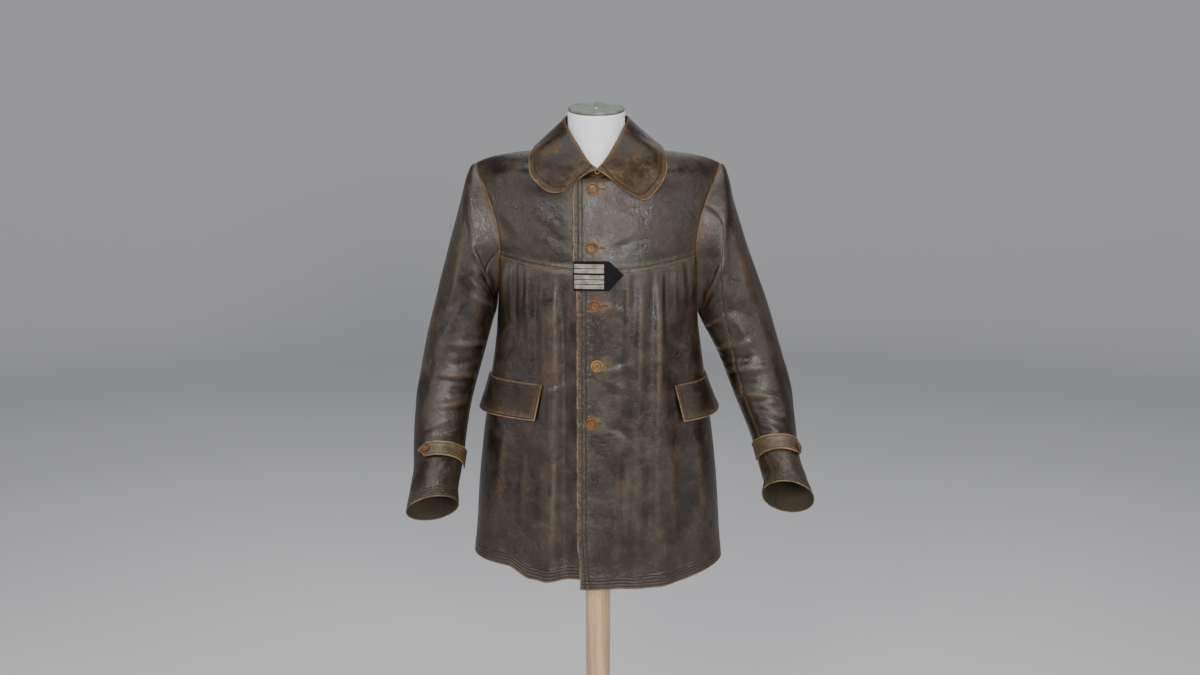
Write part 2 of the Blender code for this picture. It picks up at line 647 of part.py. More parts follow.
LEAF_LEFT = (
    Leaf(0.000, -0.1000, 1.3960, 0.032, 1.3705, FRONT),
    Leaf(0.003, -0.0985, 1.4010, 0.058, 1.3530, FRONT),
    Leaf(0.010, -0.0940, 1.4090, 0.084, 1.3430, FRONT),
    Leaf(0.020, -0.0850, 1.4220, 0.106, 1.3640, FRONT),
    Leaf(0.031, -0.0710, 1.4390, 0.119, 1.3860, FRONT),
    Leaf(0.0440, -0.0520, 1.4600, 0.123, 1.4080, FRONT),
    Leaf(0.0530, -0.0260, 1.4770, 0.119, None, -0.022),
    Leaf(0.0575, 0.0050, 1.4870, 0.115, None, 0.024),
    Leaf(0.0530, 0.0360, 1.4900, 0.103, 1.4080, BACK),
    Leaf(0.0310, 0.0570, 1.4900, 0.070, 1.3920, BACK),
    Leaf(0.0, 0.0640, 1.4900, 0.0, 1.3860, BACK),
)
COLLAR_CLEARANCE = 0.0062   # outer face of the fall above the yoke at its edge
COLLAR_ROLL = 0.0075        # how far the fall bulges between its fold and its edge
ROLL_AT_BACK = 0.15         # share of that roll over the shoulders and behind
ROLL_POWER = 1.15
ROLL_SPAN = 0.06            # width of the fall that gets the whole roll
FRONTAL = (0.3, 0.7)        # how far forward an edge faces, from none to all of the front's roll
COLLAR_RISE = 0.55          # how much the roll lifts as well as bulges
FOLD_RISE = 0.45
STAND_CLEARANCE = 0.0020    # above the neck seam, and below the fold
STAND_INSET = 0.0034        # inside the fold
COLLAR_CENTRE_Y = -0.012    # middle of the neck, front to back


def leaf_edge(leaf):
    """The edge's point just above the yoke, and the yoke's normal there."""
    if leaf.edge_place == FRONT:
        point, normal = front_at(leaf.edge_x, leaf.edge_z)
    elif leaf.edge_place == BACK:
        point, normal = body_at("back", leaf.edge_x, leaf.edge_z)[0]
    else:
        face = "front" if leaf.edge_place < 0 else "back"
        point, normal = body_at(face, leaf.edge_x, leaf.edge_place, "y")[0]
    return point + normal * COLLAR_CLEARANCE, normal


@lru_cache(maxsize=None)
def collar_lines():
    """The fold line, the outer edge and its normals, from the right front end to the left one."""
    leaves = list(LEAF_RIGHT) + list(reversed(LEAF_LEFT[:-1]))
    folds = [Vector((leaf.fold_x, leaf.fold_y, leaf.fold_z)) for leaf in leaves]
    edges = [leaf_edge(leaf) for leaf in leaves]
    return folds, [edge[0] for edge in edges], [edge[1] for edge in edges]


COLLAR_STATIONS = len(LEAF_RIGHT) + len(LEAF_LEFT) - 2


def collar_point(station, down):
    folds, edges, _ = collar_lines()
    fold = curve_through(folds, station)
    edge = curve_through(edges, station)
    point = fold.lerp(edge, down)
    out = Vector((edge.x * 0.6, edge.y + 0.01, 0)).normalized() + Vector((0, 0, COLLAR_RISE))
    frontal = smooth(*FRONTAL, -edge.y / math.hypot(edge.x, edge.y))
    span = min((edge - fold).length / ROLL_SPAN, 1.3)
    share = ROLL_AT_BACK + (1.0 - ROLL_AT_BACK) * frontal
    roll = COLLAR_ROLL * share * span * math.sin(math.pi * max(down, 0.0) ** ROLL_POWER)
    return point + out.normalized() * roll


def collar(station, down):
    point = collar_point(station, down)
    fold = curve_through(collar_lines()[0], station)
    at_fold = Vector((fold.x, fold.y - COLLAR_CENTRE_Y, 0)).normalized() + Vector((0, 0, FOLD_RISE))
    at_edge = curve_through(collar_lines()[2], station)
    return point, at_fold.normalized().lerp(at_edge, down).normalized()


def neckline(station):
    """The neck seam's point under a place of the collar."""
    half = COLLAR_STATIONS / 2
    side = -1.0 if station < half else 1.0
    share = abs(station - half) / half
    angle = math.pi * (1.0 - share)
    x = NECK_HALF * math.sin(angle) * side
    if share > 0.5:
        middle_y, middle_z = NECK_FRONT_Y, NECK_FRONT_HEIGHT
    else:
        middle_y, middle_z = NECK_BACK_Y, NECK_BACK_HEIGHT
    depth = abs(math.cos(angle))
    y = NECK_POINT_Y + (middle_y - NECK_POINT_Y) * depth
    return Vector((x, y, NECK_POINT_HEIGHT + (middle_z - NECK_POINT_HEIGHT) * depth))


def stand_point(station, up):
    """The collar stand, from just above the neck seam to just under the fold."""
    seam = neckline(station)
    seam.z += STAND_CLEARANCE
    fold = curve_through(collar_lines()[0], station)
    inward = Vector((FORM_CENTRE_X - fold.x, COLLAR_CENTRE_Y - fold.y, 0)).normalized()
    top = fold + inward * STAND_INSET - Vector((0, 0, STAND_CLEARANCE))
    return seam.lerp(top, up)


def stand(station, up):
    point = stand_point(station, up)
    return point, Vector((point.x, point.y - COLLAR_CENTRE_Y, 0)).normalized()


def make_collar():
    wall("collar_fall", collar, steps(40, 0, COLLAR_STATIONS), steps(5), DOUBLE_LEATHER, "collar_leather")
    wall("collar_stand", stand, steps(28, 0.8, COLLAR_STATIONS - 0.8), steps(2), LEATHER, "collar_leather")


# Flaps: hinged on the fronts below the waist, from a front corner round to the side.
Flap = namedtuple("Flap", "name side front_top front_bottom z_front z_side flare_front flare_side")
FLAPS = (
    Flap("flap_right", -1.0, 0.100, 0.115, 1.006, 1.010, 0.003, 0.010),
    Flap("flap_left", 1.0, 0.142, 0.158, 1.000, 1.012, 0.005, 0.019),
)


def round_side(side, angle, row):
    """The body's outer face at an angle from the centre front (0) past the side (1) to the back."""
    if angle <= 1.0:
        return body("front", side * across_at(angle), row)
    return body("back", side * across_at(2.0 - angle), row)


def row_at_height(z):
    for index, section in enumerate(SECTIONS):
        if section.z_side > z:
            below = SECTIONS[index - 1].z_side
            return index - 1 + (z - below) / (section.z_side - below)
    return float(TOP)


@lru_cache(maxsize=None)
def angle_after(side, start_x, row, length):
    """Walks round the body from a place in front and gives the angle a length further on."""
    angle = math.asin(start_x / half_width(row)) * 2 / math.pi
    point = round_side(side, angle, row)[0]
    stride = 0.004
    while length > 0:
        angle += stride
        after = round_side(side, angle, row)[0]
        length -= (after - point).length
        point = after
    return angle


def make_flap(flap):
    def surface(along, down):
        z = flap.z_front + (flap.z_side - flap.z_front) * along - FLAP_DEPTH * down
        start_x = flap.front_top + (flap.front_bottom - flap.front_top) * down
        row = row_at_height(z)
        hinge_row = row_at_height(z + FLAP_DEPTH * down)
        start = math.asin(start_x / half_width(row)) * 2 / math.pi
        end = angle_after(flap.side, flap.front_top, hinge_row, FLAP_LENGTH)
        point, normal = round_side(flap.side, start + (end - start) * along, row)
        flare = flap.flare_front + (flap.flare_side - flap.flare_front) * along ** FLARE_ALONG
        return point + normal * (FLAP_SEAT + DOUBLE_LEATHER + flare * down ** FLARE_DOWN), normal
    wall(flap.name, surface, steps(9), steps(4), DOUBLE_LEATHER, "leather")


# Small pieces on the left front
def make_front_patch(name, outline, columns, rows, thickness, lift, material_name):
    """A flat piece on the left front: outline(u) gives x and the lower and upper height."""
    def surface(u, v):
        x, low, high = outline(u)
        return front_at(x, low + (high - low) * v)
    wall(name, surface, steps(columns), steps(rows), thickness, material_name, lift)


def make_rank_tab():
    def outline(u):
        x = RANK_LEFT + (RANK_TIP_X - RANK_LEFT) * u
        in_point = max((x - RANK_SHOULDER_X) / (RANK_TIP_X - RANK_SHOULDER_X), 0.0) * RANK_TIP_CUT
        low = RANK_BOTTOM + (RANK_TIP_HEIGHT - RANK_BOTTOM) * in_point
        return x, low, RANK_TOP + (RANK_TIP_HEIGHT - RANK_TOP) * in_point

    lift = 2 * SEAM + RANK_THICKNESS
    make_front_patch("rank_tab", outline, 7, 2, RANK_THICKNESS, lift, "tab_cloth")
    for index in range(5):
        stripe_top = BRAID_TOP - BRAID_PITCH * index - (BRAID_GAP if index > 1 else 0.0)

        def stripe(u, stripe_top=stripe_top):
            return BRAID_LEFT + BRAID_LENGTH * u, stripe_top - BRAID_HEIGHT, stripe_top

        make_front_patch(
            f"rank_stripe_{index + 1}", stripe, 4, 1, BRAID_THICKNESS,
            lift + SEAM + BRAID_THICKNESS, "braid",
        )


def button_profile(radius, thickness):
    """A sew-through button with a raised rim and a dished middle."""
    return (
        (radius * 0.78, 0.0),
        (radius * 0.97, thickness * 0.35),
        (radius, thickness * 0.62),
        (radius * 0.90, thickness),
        (radius * 0.72, thickness * 0.93),
        (radius * 0.55, thickness * 0.62),
    )


BUTTON_PLACES = ((-0.010, 1.361), (-0.011, 1.257), (-0.005, 1.153), (-0.002, 1.042), (-0.013, 0.934))


def make_front_buttons():
    for index, (x, z) in enumerate(BUTTON_PLACES):
        point, normal = front_at(x, z)
        profile = button_profile(BUTTON_RADIUS, BUTTON_THICKNESS)
        seat = point + normal * BUTTON_SEAT
        turned(f"button_front_{index + 1}", profile, seat, normal, "horn")


# Cuff tabs: they start at the inner edge and point to the outer one, with one button each.
CuffTab = namedtuple("CuffTab", "side rings inner_angle tip_angle row_top row_bottom button_angle")
CUFF_TABS = (
    CuffTab("right", SLEEVE_RIGHT, 195, 52, 10.0, 10.95, 66),
    CuffTab("left", SLEEVE_LEFT, 180, 20, 9.9, 10.85, 38),
)


def make_cuff_tab(tab):
    inner, tip = math.radians(tab.inner_angle), math.radians(tab.tip_angle)
    middle_row = (tab.row_top + tab.row_bottom) / 2

    def surface(u, v):
        angle = inner + (tip - inner) * u
        in_point = max((u - TAB_POINT_SHARE) / (1.0 - TAB_POINT_SHARE), 0.0) * TAB_BLUNT
        half = (tab.row_bottom - tab.row_top) / 2 * (1.0 - in_point)
        return sleeve(tab.rings, angle, middle_row + half * (2.0 * v - 1.0))

    lift = TAB_SEAT + DOUBLE_LEATHER
    name = f"cuff_tab_{tab.side}"
    wall(name, surface, steps(12, 0, TAB_POINT_SHARE) + [1.0], steps(2), DOUBLE_LEATHER, "leather", lift)
    point, normal = sleeve(tab.rings, math.radians(tab.button_angle), middle_row)
    profile = button_profile(CUFF_BUTTON_RADIUS, BUTTON_THICKNESS * 0.8)
    seat = point + normal * (lift + SEAM * 1.5)
    turned(f"button_cuff_{tab.side}", profile, seat, normal, "horn", sides=14)


# Dress form: shoulders just under the yokes, a torso clear of the cloth, and a neck
FORM_HALF = (0.0, 0.10, 0.20, 0.2982, 0.42, 0.55, 0.68, 0.80, 0.90, 0.96, 1.0)
FORM_COLUMNS = tuple(-share for share in reversed(FORM_HALF[1:])) + FORM_HALF
FORM_NECK_COLUMNS = 3       # columns each side of the middle that carry on up into the neck
FORM_ROWS = (2.5, 3, 4, 5, 6, 7, 8, 9, 9.5, 10, 10.5, 11, 11.5, TOP)
FORM_CLEARANCE = 0.0030     # between the form and the leather on top of the shoulders
FORM_SHOULDER_HOLLOW = 0.012    # how much further inside the chest is than the shoulders
FORM_WAIST_HOLLOW = 0.010       # and the waist than the chest
FORM_REACH = 0.955              # share of the body's width that the form has at the shoulders
FORM_ARMPIT_REACH = 0.045       # how much less it has below the armholes
FORM_END_ROUND = 0.45           # power that rounds its sides off
FORM_BOTTOM = 0.832

# Rings of the neck: share of the way up, and how far it has turned from the shoulders' section
# to the round rim
NeckRing = namedtuple("NeckRing", "height_share blend")
NECK_RINGS = (NeckRing(0.25, 0.55), NeckRing(0.5, 0.85), NeckRing(0.75, 1.0), NeckRing(1.0, 1.0))
NECK_SLIMMING = 0.93


def form_point(face, across, row):
    """The form follows the body inside the cloth, closest on the shoulders."""
    hollow = FORM_SHOULDER_HOLLOW * (1.0 - smooth(9.5, 12.0, row)) + FORM_WAIST_HOLLOW * smooth(8, 3, row)
    reach = FORM_REACH - FORM_ARMPIT_REACH * smooth(9.0, 7.0, row)
    point, normal = body(face, across * reach, row)
    point = point - normal * (LEATHER + FORM_CLEARANCE + hollow)
    if row < TOP:
        point.y *= (1.0 - abs(across) ** ARMHOLE_POWER) ** FORM_END_ROUND
    if row == FORM_ROWS[0]:
        point.z = FORM_BOTTOM
    return point


def form_loop(row):
    """The form's section at a row: along the front from right to left, then along the back."""
    front = [form_point("front", across, row) for across in FORM_COLUMNS]
    back = [form_point("back", across, row) for across in reversed(FORM_COLUMNS[1:-1])]
    loop = front + back
    last = len(FORM_COLUMNS) - 1
    for end in (0, last):
        loop[end].y = 0.0
    if row == TOP:
        for index in range(1, last):
            if abs(index - last // 2) >= FORM_NECK_COLUMNS:
                middle = (loop[index] + loop[-index]) / 2
                loop[index] = middle
                loop[-index] = middle.copy()
    return loop


def make_form():
    mesh_data = bmesh.new()
    loops = [[mesh_data.verts.new(point) for point in form_loop(row)] for row in FORM_ROWS]
    for low, high in zip(loops, loops[1:]):
        bridge(mesh_data, low, high)
    mesh_data.faces.new(loops[0][::-1])
    middle = len(FORM_COLUMNS) // 2
    neck = range(middle - FORM_NECK_COLUMNS, middle + FORM_NECK_COLUMNS + 1)
    foot = [loops[-1][i] for i in neck] + [loops[-1][-i] for i in reversed(neck[1:-1])]
    lower = foot
    for neck_ring in NECK_RINGS:
        ring = [mesh_data.verts.new(neck_point(vert.co, *neck_ring)) for vert in foot]
        bridge(mesh_data, lower, ring)
        lower = ring
    mesh_data.faces.new(lower)
    finish("form_torso", mesh_data, "jersey", 50)


def neck_top(angle, radius_share=1.0, lift=0.0):
    """A point of the form's neck rim, which is tilted forward."""
    reach = FORM_NECK_HALF * radius_share
    local = Vector((reach * math.cos(angle), reach * math.sin(angle), lift))
    y = local.y * math.cos(FORM_NECK_TILT) - local.z * math.sin(FORM_NECK_TILT)
    z = local.y * math.sin(FORM_NECK_TILT) + local.z * math.cos(FORM_NECK_TILT)
    return Vector((FORM_CENTRE_X + local.x, FORM_NECK_Y + y, FORM_NECK_TOP + z))


def neck_point(corner, height_share, blend):
    angle = math.atan2(corner.y - FORM_NECK_Y, corner.x)
    rim = neck_top(angle)
    height = corner.z + (rim.z - corner.z) * height_share
    wide = Vector((corner.x * NECK_SLIMMING, corner.y * NECK_SLIMMING, height))
    return wide.lerp(Vector((rim.x, rim.y, height)), blend)


def make_form_cap():
    axis = Vector((0, -math.sin(FORM_NECK_TILT), math.cos(FORM_NECK_TILT)))
    place = Vector((FORM_CENTRE_X, FORM_NECK_Y, FORM_NECK_TOP)) + axis * SEAM
    rim = FORM_NECK_HALF
    profile = (
        (rim * 0.97, 0.0), (rim, CAP_THICKNESS * 0.3), (rim, CAP_THICKNESS * 0.8),
        (rim * 0.97, CAP_THICKNESS), (rim * 0.90, CAP_THICKNESS * 0.8), (rim * 0.3, CAP_THICKNESS * 0.6),
    )
    turned("form_cap", profile, place, axis, "cap", sides=32)


def make_stand():
    up = Vector((0, 0, 1))
    floor = Vector((0, 0, 0))
    base = (
        (BASE_RADIUS - BASE_EDGE, 0.0), (BASE_RADIUS, BASE_EDGE),
        (BASE_RADIUS, BASE_THICKNESS - BASE_EDGE), (BASE_RADIUS - BASE_EDGE, BASE_THICKNESS),
    )
    turned("base", base, floor, up, "wood", sides=48)
    pole = ((POLE_RADIUS, BASE_THICKNESS + SEAM), (POLE_RADIUS, FORM_BOTTOM - SEAM))
    turned("pole", pole, floor, up, "wood", sides=28)


clear_scene()
make_fronts()
make_sleeves()
make_collar()
for flap in FLAPS:
    make_flap(flap)
make_rank_tab()
make_front_buttons()
for tab in CUFF_TABS:
    make_cuff_tab(tab)
make_form()
make_form_cap()
make_stand()
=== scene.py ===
"""A worn leather military jacket on a limbless dress form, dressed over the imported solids.

Metres, +Z up, front towards -Y. Left and right are the wearer's, so the wearer's left is +X.
"""
import math
from collections import namedtuple
from functools import partial

import bpy
import numpy as np
from mathutils import Matrix, Vector


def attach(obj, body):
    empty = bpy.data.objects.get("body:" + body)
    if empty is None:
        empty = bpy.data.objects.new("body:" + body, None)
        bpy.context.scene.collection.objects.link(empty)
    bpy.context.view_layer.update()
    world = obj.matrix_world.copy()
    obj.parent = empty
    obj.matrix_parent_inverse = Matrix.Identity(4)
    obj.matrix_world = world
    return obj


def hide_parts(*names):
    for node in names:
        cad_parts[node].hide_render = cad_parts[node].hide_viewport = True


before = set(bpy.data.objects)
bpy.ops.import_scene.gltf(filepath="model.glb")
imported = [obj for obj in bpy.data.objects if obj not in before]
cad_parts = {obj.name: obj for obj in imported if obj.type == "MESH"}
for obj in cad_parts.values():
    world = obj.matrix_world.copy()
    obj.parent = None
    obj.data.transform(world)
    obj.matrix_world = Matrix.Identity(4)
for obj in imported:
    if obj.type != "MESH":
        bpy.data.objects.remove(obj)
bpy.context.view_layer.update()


# Camera, floor and light
# The camera stands in front, a little above the shoulders, and looks down as in the photograph.
# The floor is one pale sheet that turns up into a wall all round. Soft boxes light it from in
# front, above and behind, and a narrow strip from each side.
CAMERA_PLACE = (0.0038, -2.5, 1.501)
CAMERA_TILT = math.radians(90 - 9.67)
PHOTO_WIDTH = 1200
FOCAL_PIXELS = 1335
FLOOR_RINGS = (0.0, 2.0, 4.0)
FLOOR_RADIUS = 5.6
COVE_RADIUS = 1.5
WALL_HEIGHT = 5.0


def smooth(low, high, value):
    """0 below low, 1 above high, and a soft step between them."""
    share = np.clip((np.asarray(value, float) - low) / (high - low), 0.0, 1.0)
    return share * share * (3.0 - 2.0 * share)


def grid_piece(name, points):
    """A grid primitive shaped to points (columns, rows, xyz); its faces look along column x row."""
    columns, rows = points.shape[:2]
    bpy.ops.object.select_all(action="DESELECT")
    bpy.ops.mesh.primitive_grid_add(x_subdivisions=columns - 1, y_subdivisions=rows - 1, size=2)
    piece = bpy.context.active_object
    piece.name = piece.data.name = name
    flat = np.empty(len(piece.data.vertices) * 3)
    piece.data.vertices.foreach_get("co", flat)
    flat = flat.reshape(-1, 3)
    column = np.rint((flat[:, 0] + 1) / 2 * (columns - 1)).astype(int)
    row = np.rint((flat[:, 1] + 1) / 2 * (rows - 1)).astype(int)
    piece.data.vertices.foreach_set("co", points[column, row].ravel())
    piece.data.update()
    return piece, column, row


def merge_corners(threshold, turn_outwards=True):
    """Merges the active mesh's doubled corners and turns its faces outwards."""
    bpy.ops.object.mode_set(mode="EDIT")
    bpy.ops.mesh.select_all(action="SELECT")
    bpy.ops.mesh.remove_doubles(threshold=threshold)
    if turn_outwards:
        bpy.ops.mesh.normals_make_consistent(inside=False)
    bpy.ops.object.mode_set(mode="OBJECT")


def new_finish(name):
    """A new material, its node tree and its Principled shader."""
    made = bpy.data.materials.new(name)
    made.use_nodes = True
    return made, made.node_tree, made.node_tree.nodes["Principled BSDF"]


def feed(tree, made, values):
    """Sets a node's inputs, given by name or number, or links them where the value is a socket."""
    for key, value in values.items():
        if isinstance(value, bpy.types.NodeSocket):
            tree.links.new(value, made.inputs[key])
        else:
            made.inputs[key].default_value = value


def light(name, place, aim, size, power, colour=(1.0, 1.0, 1.0), height=None):
    bpy.ops.object.select_all(action="DESELECT")
    bpy.ops.object.light_add(type="AREA", location=place)
    lamp = bpy.context.active_object
    lamp.name = name
    lamp.data.shape = "RECTANGLE"
    lamp.data.size = size
    lamp.data.size_y = height or size
    lamp.data.energy = power
    lamp.data.color = colour
    lamp.rotation_euler = (Vector(aim) - Vector(place)).to_track_quat("-Z", "Y").to_euler()


bpy.ops.object.select_all(action="DESELECT")
bpy.ops.object.camera_add(location=CAMERA_PLACE, rotation=(CAMERA_TILT, 0, 0))
camera = bpy.context.active_object
camera.data.lens = camera.data.sensor_width * FOCAL_PIXELS / PHOTO_WIDTH
bpy.context.scene.camera = camera

turn = np.linspace(0, 2 * math.pi, 97)
bend = np.linspace(0, math.pi / 2, 13)
wall_radius = FLOOR_RADIUS + COVE_RADIUS
reach = np.concatenate([FLOOR_RINGS, FLOOR_RADIUS + COVE_RADIUS * np.sin(bend), [wall_radius]])
rise = np.concatenate([np.zeros(len(FLOOR_RINGS)), COVE_RADIUS * (1 - np.cos(bend)), [WALL_HEIGHT]])
cove = np.stack(
    [np.outer(np.cos(turn), reach), np.outer(np.sin(turn), reach), np.outer(np.ones(len(turn)), rise)],
    axis=2)
floor, _, _ = grid_piece("floor", cove[:, ::-1])
merge_corners(0.0001, turn_outwards=False)
bpy.ops.object.shade_smooth()
floor_paint, tree, shader = new_finish("floor_paint")
feed(tree, shader, {"Base Color": (0.74, 0.74, 0.75, 1), "Roughness": 0.9})
floor.data.materials.append(floor_paint)

world = bpy.context.scene.world or bpy.data.worlds.new("studio")
bpy.context.scene.world = world
world.use_nodes = True
feed(world.node_tree, world.node_tree.nodes["Background"], {"Color": (0.80, 0.86, 1.0, 1), "Strength": 0.15})
CHEST, WAIST, BEHIND = (0, 0, 1.1), (0, 0, 1.05), (0, 2.0, 0)
light("key", (-1.1, -3.1, 2.6), CHEST, 0.8, 46, (1.0, 0.97, 0.93))
light("strip_right", (-2.6, -1.7, 1.5), WAIST, 0.35, 15, height=1.6)
light("strip_left", (2.5, -1.9, 1.6), WAIST, 0.35, 15, height=1.6)
light("front", (0.7, -3.5, 1.8), WAIST, 0.7, 66, (1.0, 0.98, 0.96))
light("back", (0.3, 2.8, 2.8), CHEST, 2.0, 8)
light("floor_wash", (0.0, -0.4, 4.4), BEHIND, 3.0, 95)


# The leather, its shading and its threads
# Cowhide in body panels 1.8 mm thick, dyed dark brown and rubbed back to ochre on the edges and
# folds. One node group paints every hide; another marks the rows of stitches along an edge.
LEATHER = 0.0018
THREAD = 0.00028


def socket(group, name, kind, way, value=None):
    made = group.interface.new_socket(name, in_out=way, socket_type=kind)
    if value is not None:
        made.default_value = value


def node(tree, kind, values=None, **settings):
    """A shader node with its settings and then its inputs."""
    made = tree.nodes.new(kind)
    for key, value in settings.items():
        setattr(made, key, value)
    feed(tree, made, values or {})
    return made


def own_place(tree):
    return tree.nodes.new("ShaderNodeTexCoord").outputs["Object"]


def maths(tree, operation, first, second=0.0, clamp=False):
    values = {0: first, 1: second}
    return node(tree, "ShaderNodeMath", values, operation=operation, use_clamp=clamp).outputs[0]


def blend(tree, factor, first, second, mode="MIX"):
    """A mix of two colours, which are inputs 6 and 7 of the node, and output 2."""
    values = {"Factor": factor, 6: first, 7: second}
    return node(tree, "ShaderNodeMix", values, data_type="RGBA", blend_type=mode).outputs[2]


def remap(tree, value, low, high, out_low=0.0, out_high=1.0):
    values = {"Value": value, "From Min": low, "From Max": high, "To Min": out_low, "To Max": out_high}
    return node(tree, "ShaderNodeMapRange", values, interpolation_type="SMOOTHSTEP").outputs["Result"]


def noise(tree, vector, scale, detail, roughness=0.5):
    values = {"Vector": vector, "Scale": scale, "Detail": detail, "Roughness": roughness}
    return node(tree, "ShaderNodeTexNoise", values).outputs["Fac"]


def bump(tree, height, strength, distance):
    values = {"Height": height, "Strength": strength, "Distance": distance}
    return node(tree, "ShaderNodeBump", values).outputs["Normal"]


def make_hide_group():
    """Colour, roughness and height of worn hide: blotches, rubbed edges, pebbled grain, cracks."""
    tree = bpy.data.node_groups.new("worn_hide", "ShaderNodeTree")
    for name in ("Dark", "Mid", "Rubbed"):
        socket(tree, name, "NodeSocketColor", "INPUT")
    socket(tree, "Wear", "NodeSocketFloat", "INPUT", 0.0)
    socket(tree, "Blotch", "NodeSocketFloat", "INPUT", 1.0)
    socket(tree, "Scuffs", "NodeSocketFloat", "INPUT", 0.5)
    socket(tree, "Color", "NodeSocketColor", "OUTPUT")
    socket(tree, "Roughness", "NodeSocketFloat", "OUTPUT")
    socket(tree, "Height", "NodeSocketFloat", "OUTPUT")
    given = tree.nodes.new("NodeGroupInput").outputs
    place = own_place(tree)
    large = noise(tree, place, 9.0, 5.0, 0.60)
    medium = noise(tree, place, 30.0, 6.0, 0.62)
    fine = noise(tree, place, 130.0, 6.0, 0.65)
    mix = maths(tree, "ADD", maths(tree, "MULTIPLY", large, 0.5), maths(tree, "MULTIPLY", medium, 0.5))
    tone = maths(tree, "MULTIPLY", remap(tree, mix, 0.37, 0.65), given["Blotch"])
    colour = blend(tree, tone, given["Dark"], given["Mid"])
    warm = remap(tree, noise(tree, place, 16.0, 5.0, 0.6), 0.48, 0.66)
    colour = blend(tree, warm, colour, (1.0, 0.70, 0.42, 1), "MULTIPLY")
    spots = remap(tree, maths(tree, "MULTIPLY", medium, fine), 0.27, 0.40)
    spots = maths(tree, "MULTIPLY", spots, given["Scuffs"])
    rubbed = maths(tree, "MULTIPLY", given["Wear"], remap(tree, fine, 0.30, 0.60, 0.45, 1.15))
    rubbed = maths(tree, "ADD", rubbed, maths(tree, "MULTIPLY", spots, 0.16), clamp=True)
    colour = blend(tree, rubbed, colour, given["Rubbed"])
    # Stretched scratches and cracks run across the hide at a slant
    slant = {"Vector": place, "Rotation": (0.3, 0.9, 0.5), "Scale": (60, 60, 22)}
    scratch = noise(tree, node(tree, "ShaderNodeMapping", slant).outputs[0], 3.0, 5.0, 0.6)
    crack = remap(tree, maths(tree, "ABSOLUTE", maths(tree, "SUBTRACT", scratch, 0.5)), 0.0, 0.022, 1.0, 0.0)
    crack = maths(tree, "MULTIPLY", crack, remap(tree, large, 0.46, 0.60))
    colour = blend(tree, maths(tree, "MULTIPLY", crack, 0.15), colour, given["Rubbed"])
    pebble = node(
        tree, "ShaderNodeTexVoronoi", {"Vector": place, "Scale": 620.0}, feature="SMOOTH_F1"
    ).outputs["Distance"]
    wrinkle = noise(tree, place, 75.0, 8.0, 0.68)
    height = maths(tree, "MULTIPLY", pebble, 0.10)
    height = maths(tree, "ADD", height, maths(tree, "MULTIPLY", wrinkle, 0.62))
    height = maths(tree, "ADD", height, maths(tree, "MULTIPLY", medium, 1.10))
    height = maths(tree, "SUBTRACT", height, maths(tree, "MULTIPLY", crack, 0.10))
    rough = remap(tree, medium, 0.30, 0.70, 0.27, 0.44)
    rough = maths(tree, "ADD", rough, maths(tree, "MULTIPLY", rubbed, 0.16), clamp=True)
    node(tree, "NodeGroupOutput", {"Color": colour, "Roughness": rough, "Height": height})
    return tree


def make_rows_group():
    """A mask of sewn rows: the first at a distance from the edge, then one each pitch."""
    tree = bpy.data.node_groups.new("sewn_rows", "ShaderNodeTree")
    for name, value in (("Distance", 1.0), ("First", 0.002), ("Pitch", 0.005), ("Count", 2.0)):
        socket(tree, name, "NodeSocketFloat", "INPUT", value)
    socket(tree, "Mask", "NodeSocketFloat", "OUTPUT")
    socket(tree, "Pucker", "NodeSocketFloat", "OUTPUT")
    given = tree.nodes.new("NodeGroupInput").outputs
    place = maths(tree, "DIVIDE", maths(tree, "SUBTRACT", given["Distance"], given["First"]), given["Pitch"])
    nearest = maths(tree, "ROUND", place)
    off = maths(tree, "ABSOLUTE", maths(tree, "SUBTRACT", place, nearest))
    off = maths(tree, "MULTIPLY", off, given["Pitch"])
    row = remap(tree, off, 0.0003, 0.0018, 1.0, 0.0)
    not_before = maths(tree, "GREATER_THAN", nearest, -0.5)
    not_beyond = maths(tree, "LESS_THAN", nearest, maths(tree, "SUBTRACT", given["Count"], 0.5))
    inside = maths(tree, "MULTIPLY", not_before, not_beyond)
    band = maths(tree, "MULTIPLY", given["Count"], given["Pitch"])
    pucker = remap(tree, maths(tree, "DIVIDE", given["Distance"], band), 0.2, 2.4, 1.0, 0.0)
    ripple = noise(tree, own_place(tree), 150.0, 3.0, 0.5)
    mask = maths(tree, "MULTIPLY", row, inside)
    node(tree, "NodeGroupOutput", {"Mask": mask, "Pucker": maths(tree, "MULTIPLY", pucker, ripple)})
    return tree


HIDE_GROUP = make_hide_group()
ROWS_GROUP = make_rows_group()


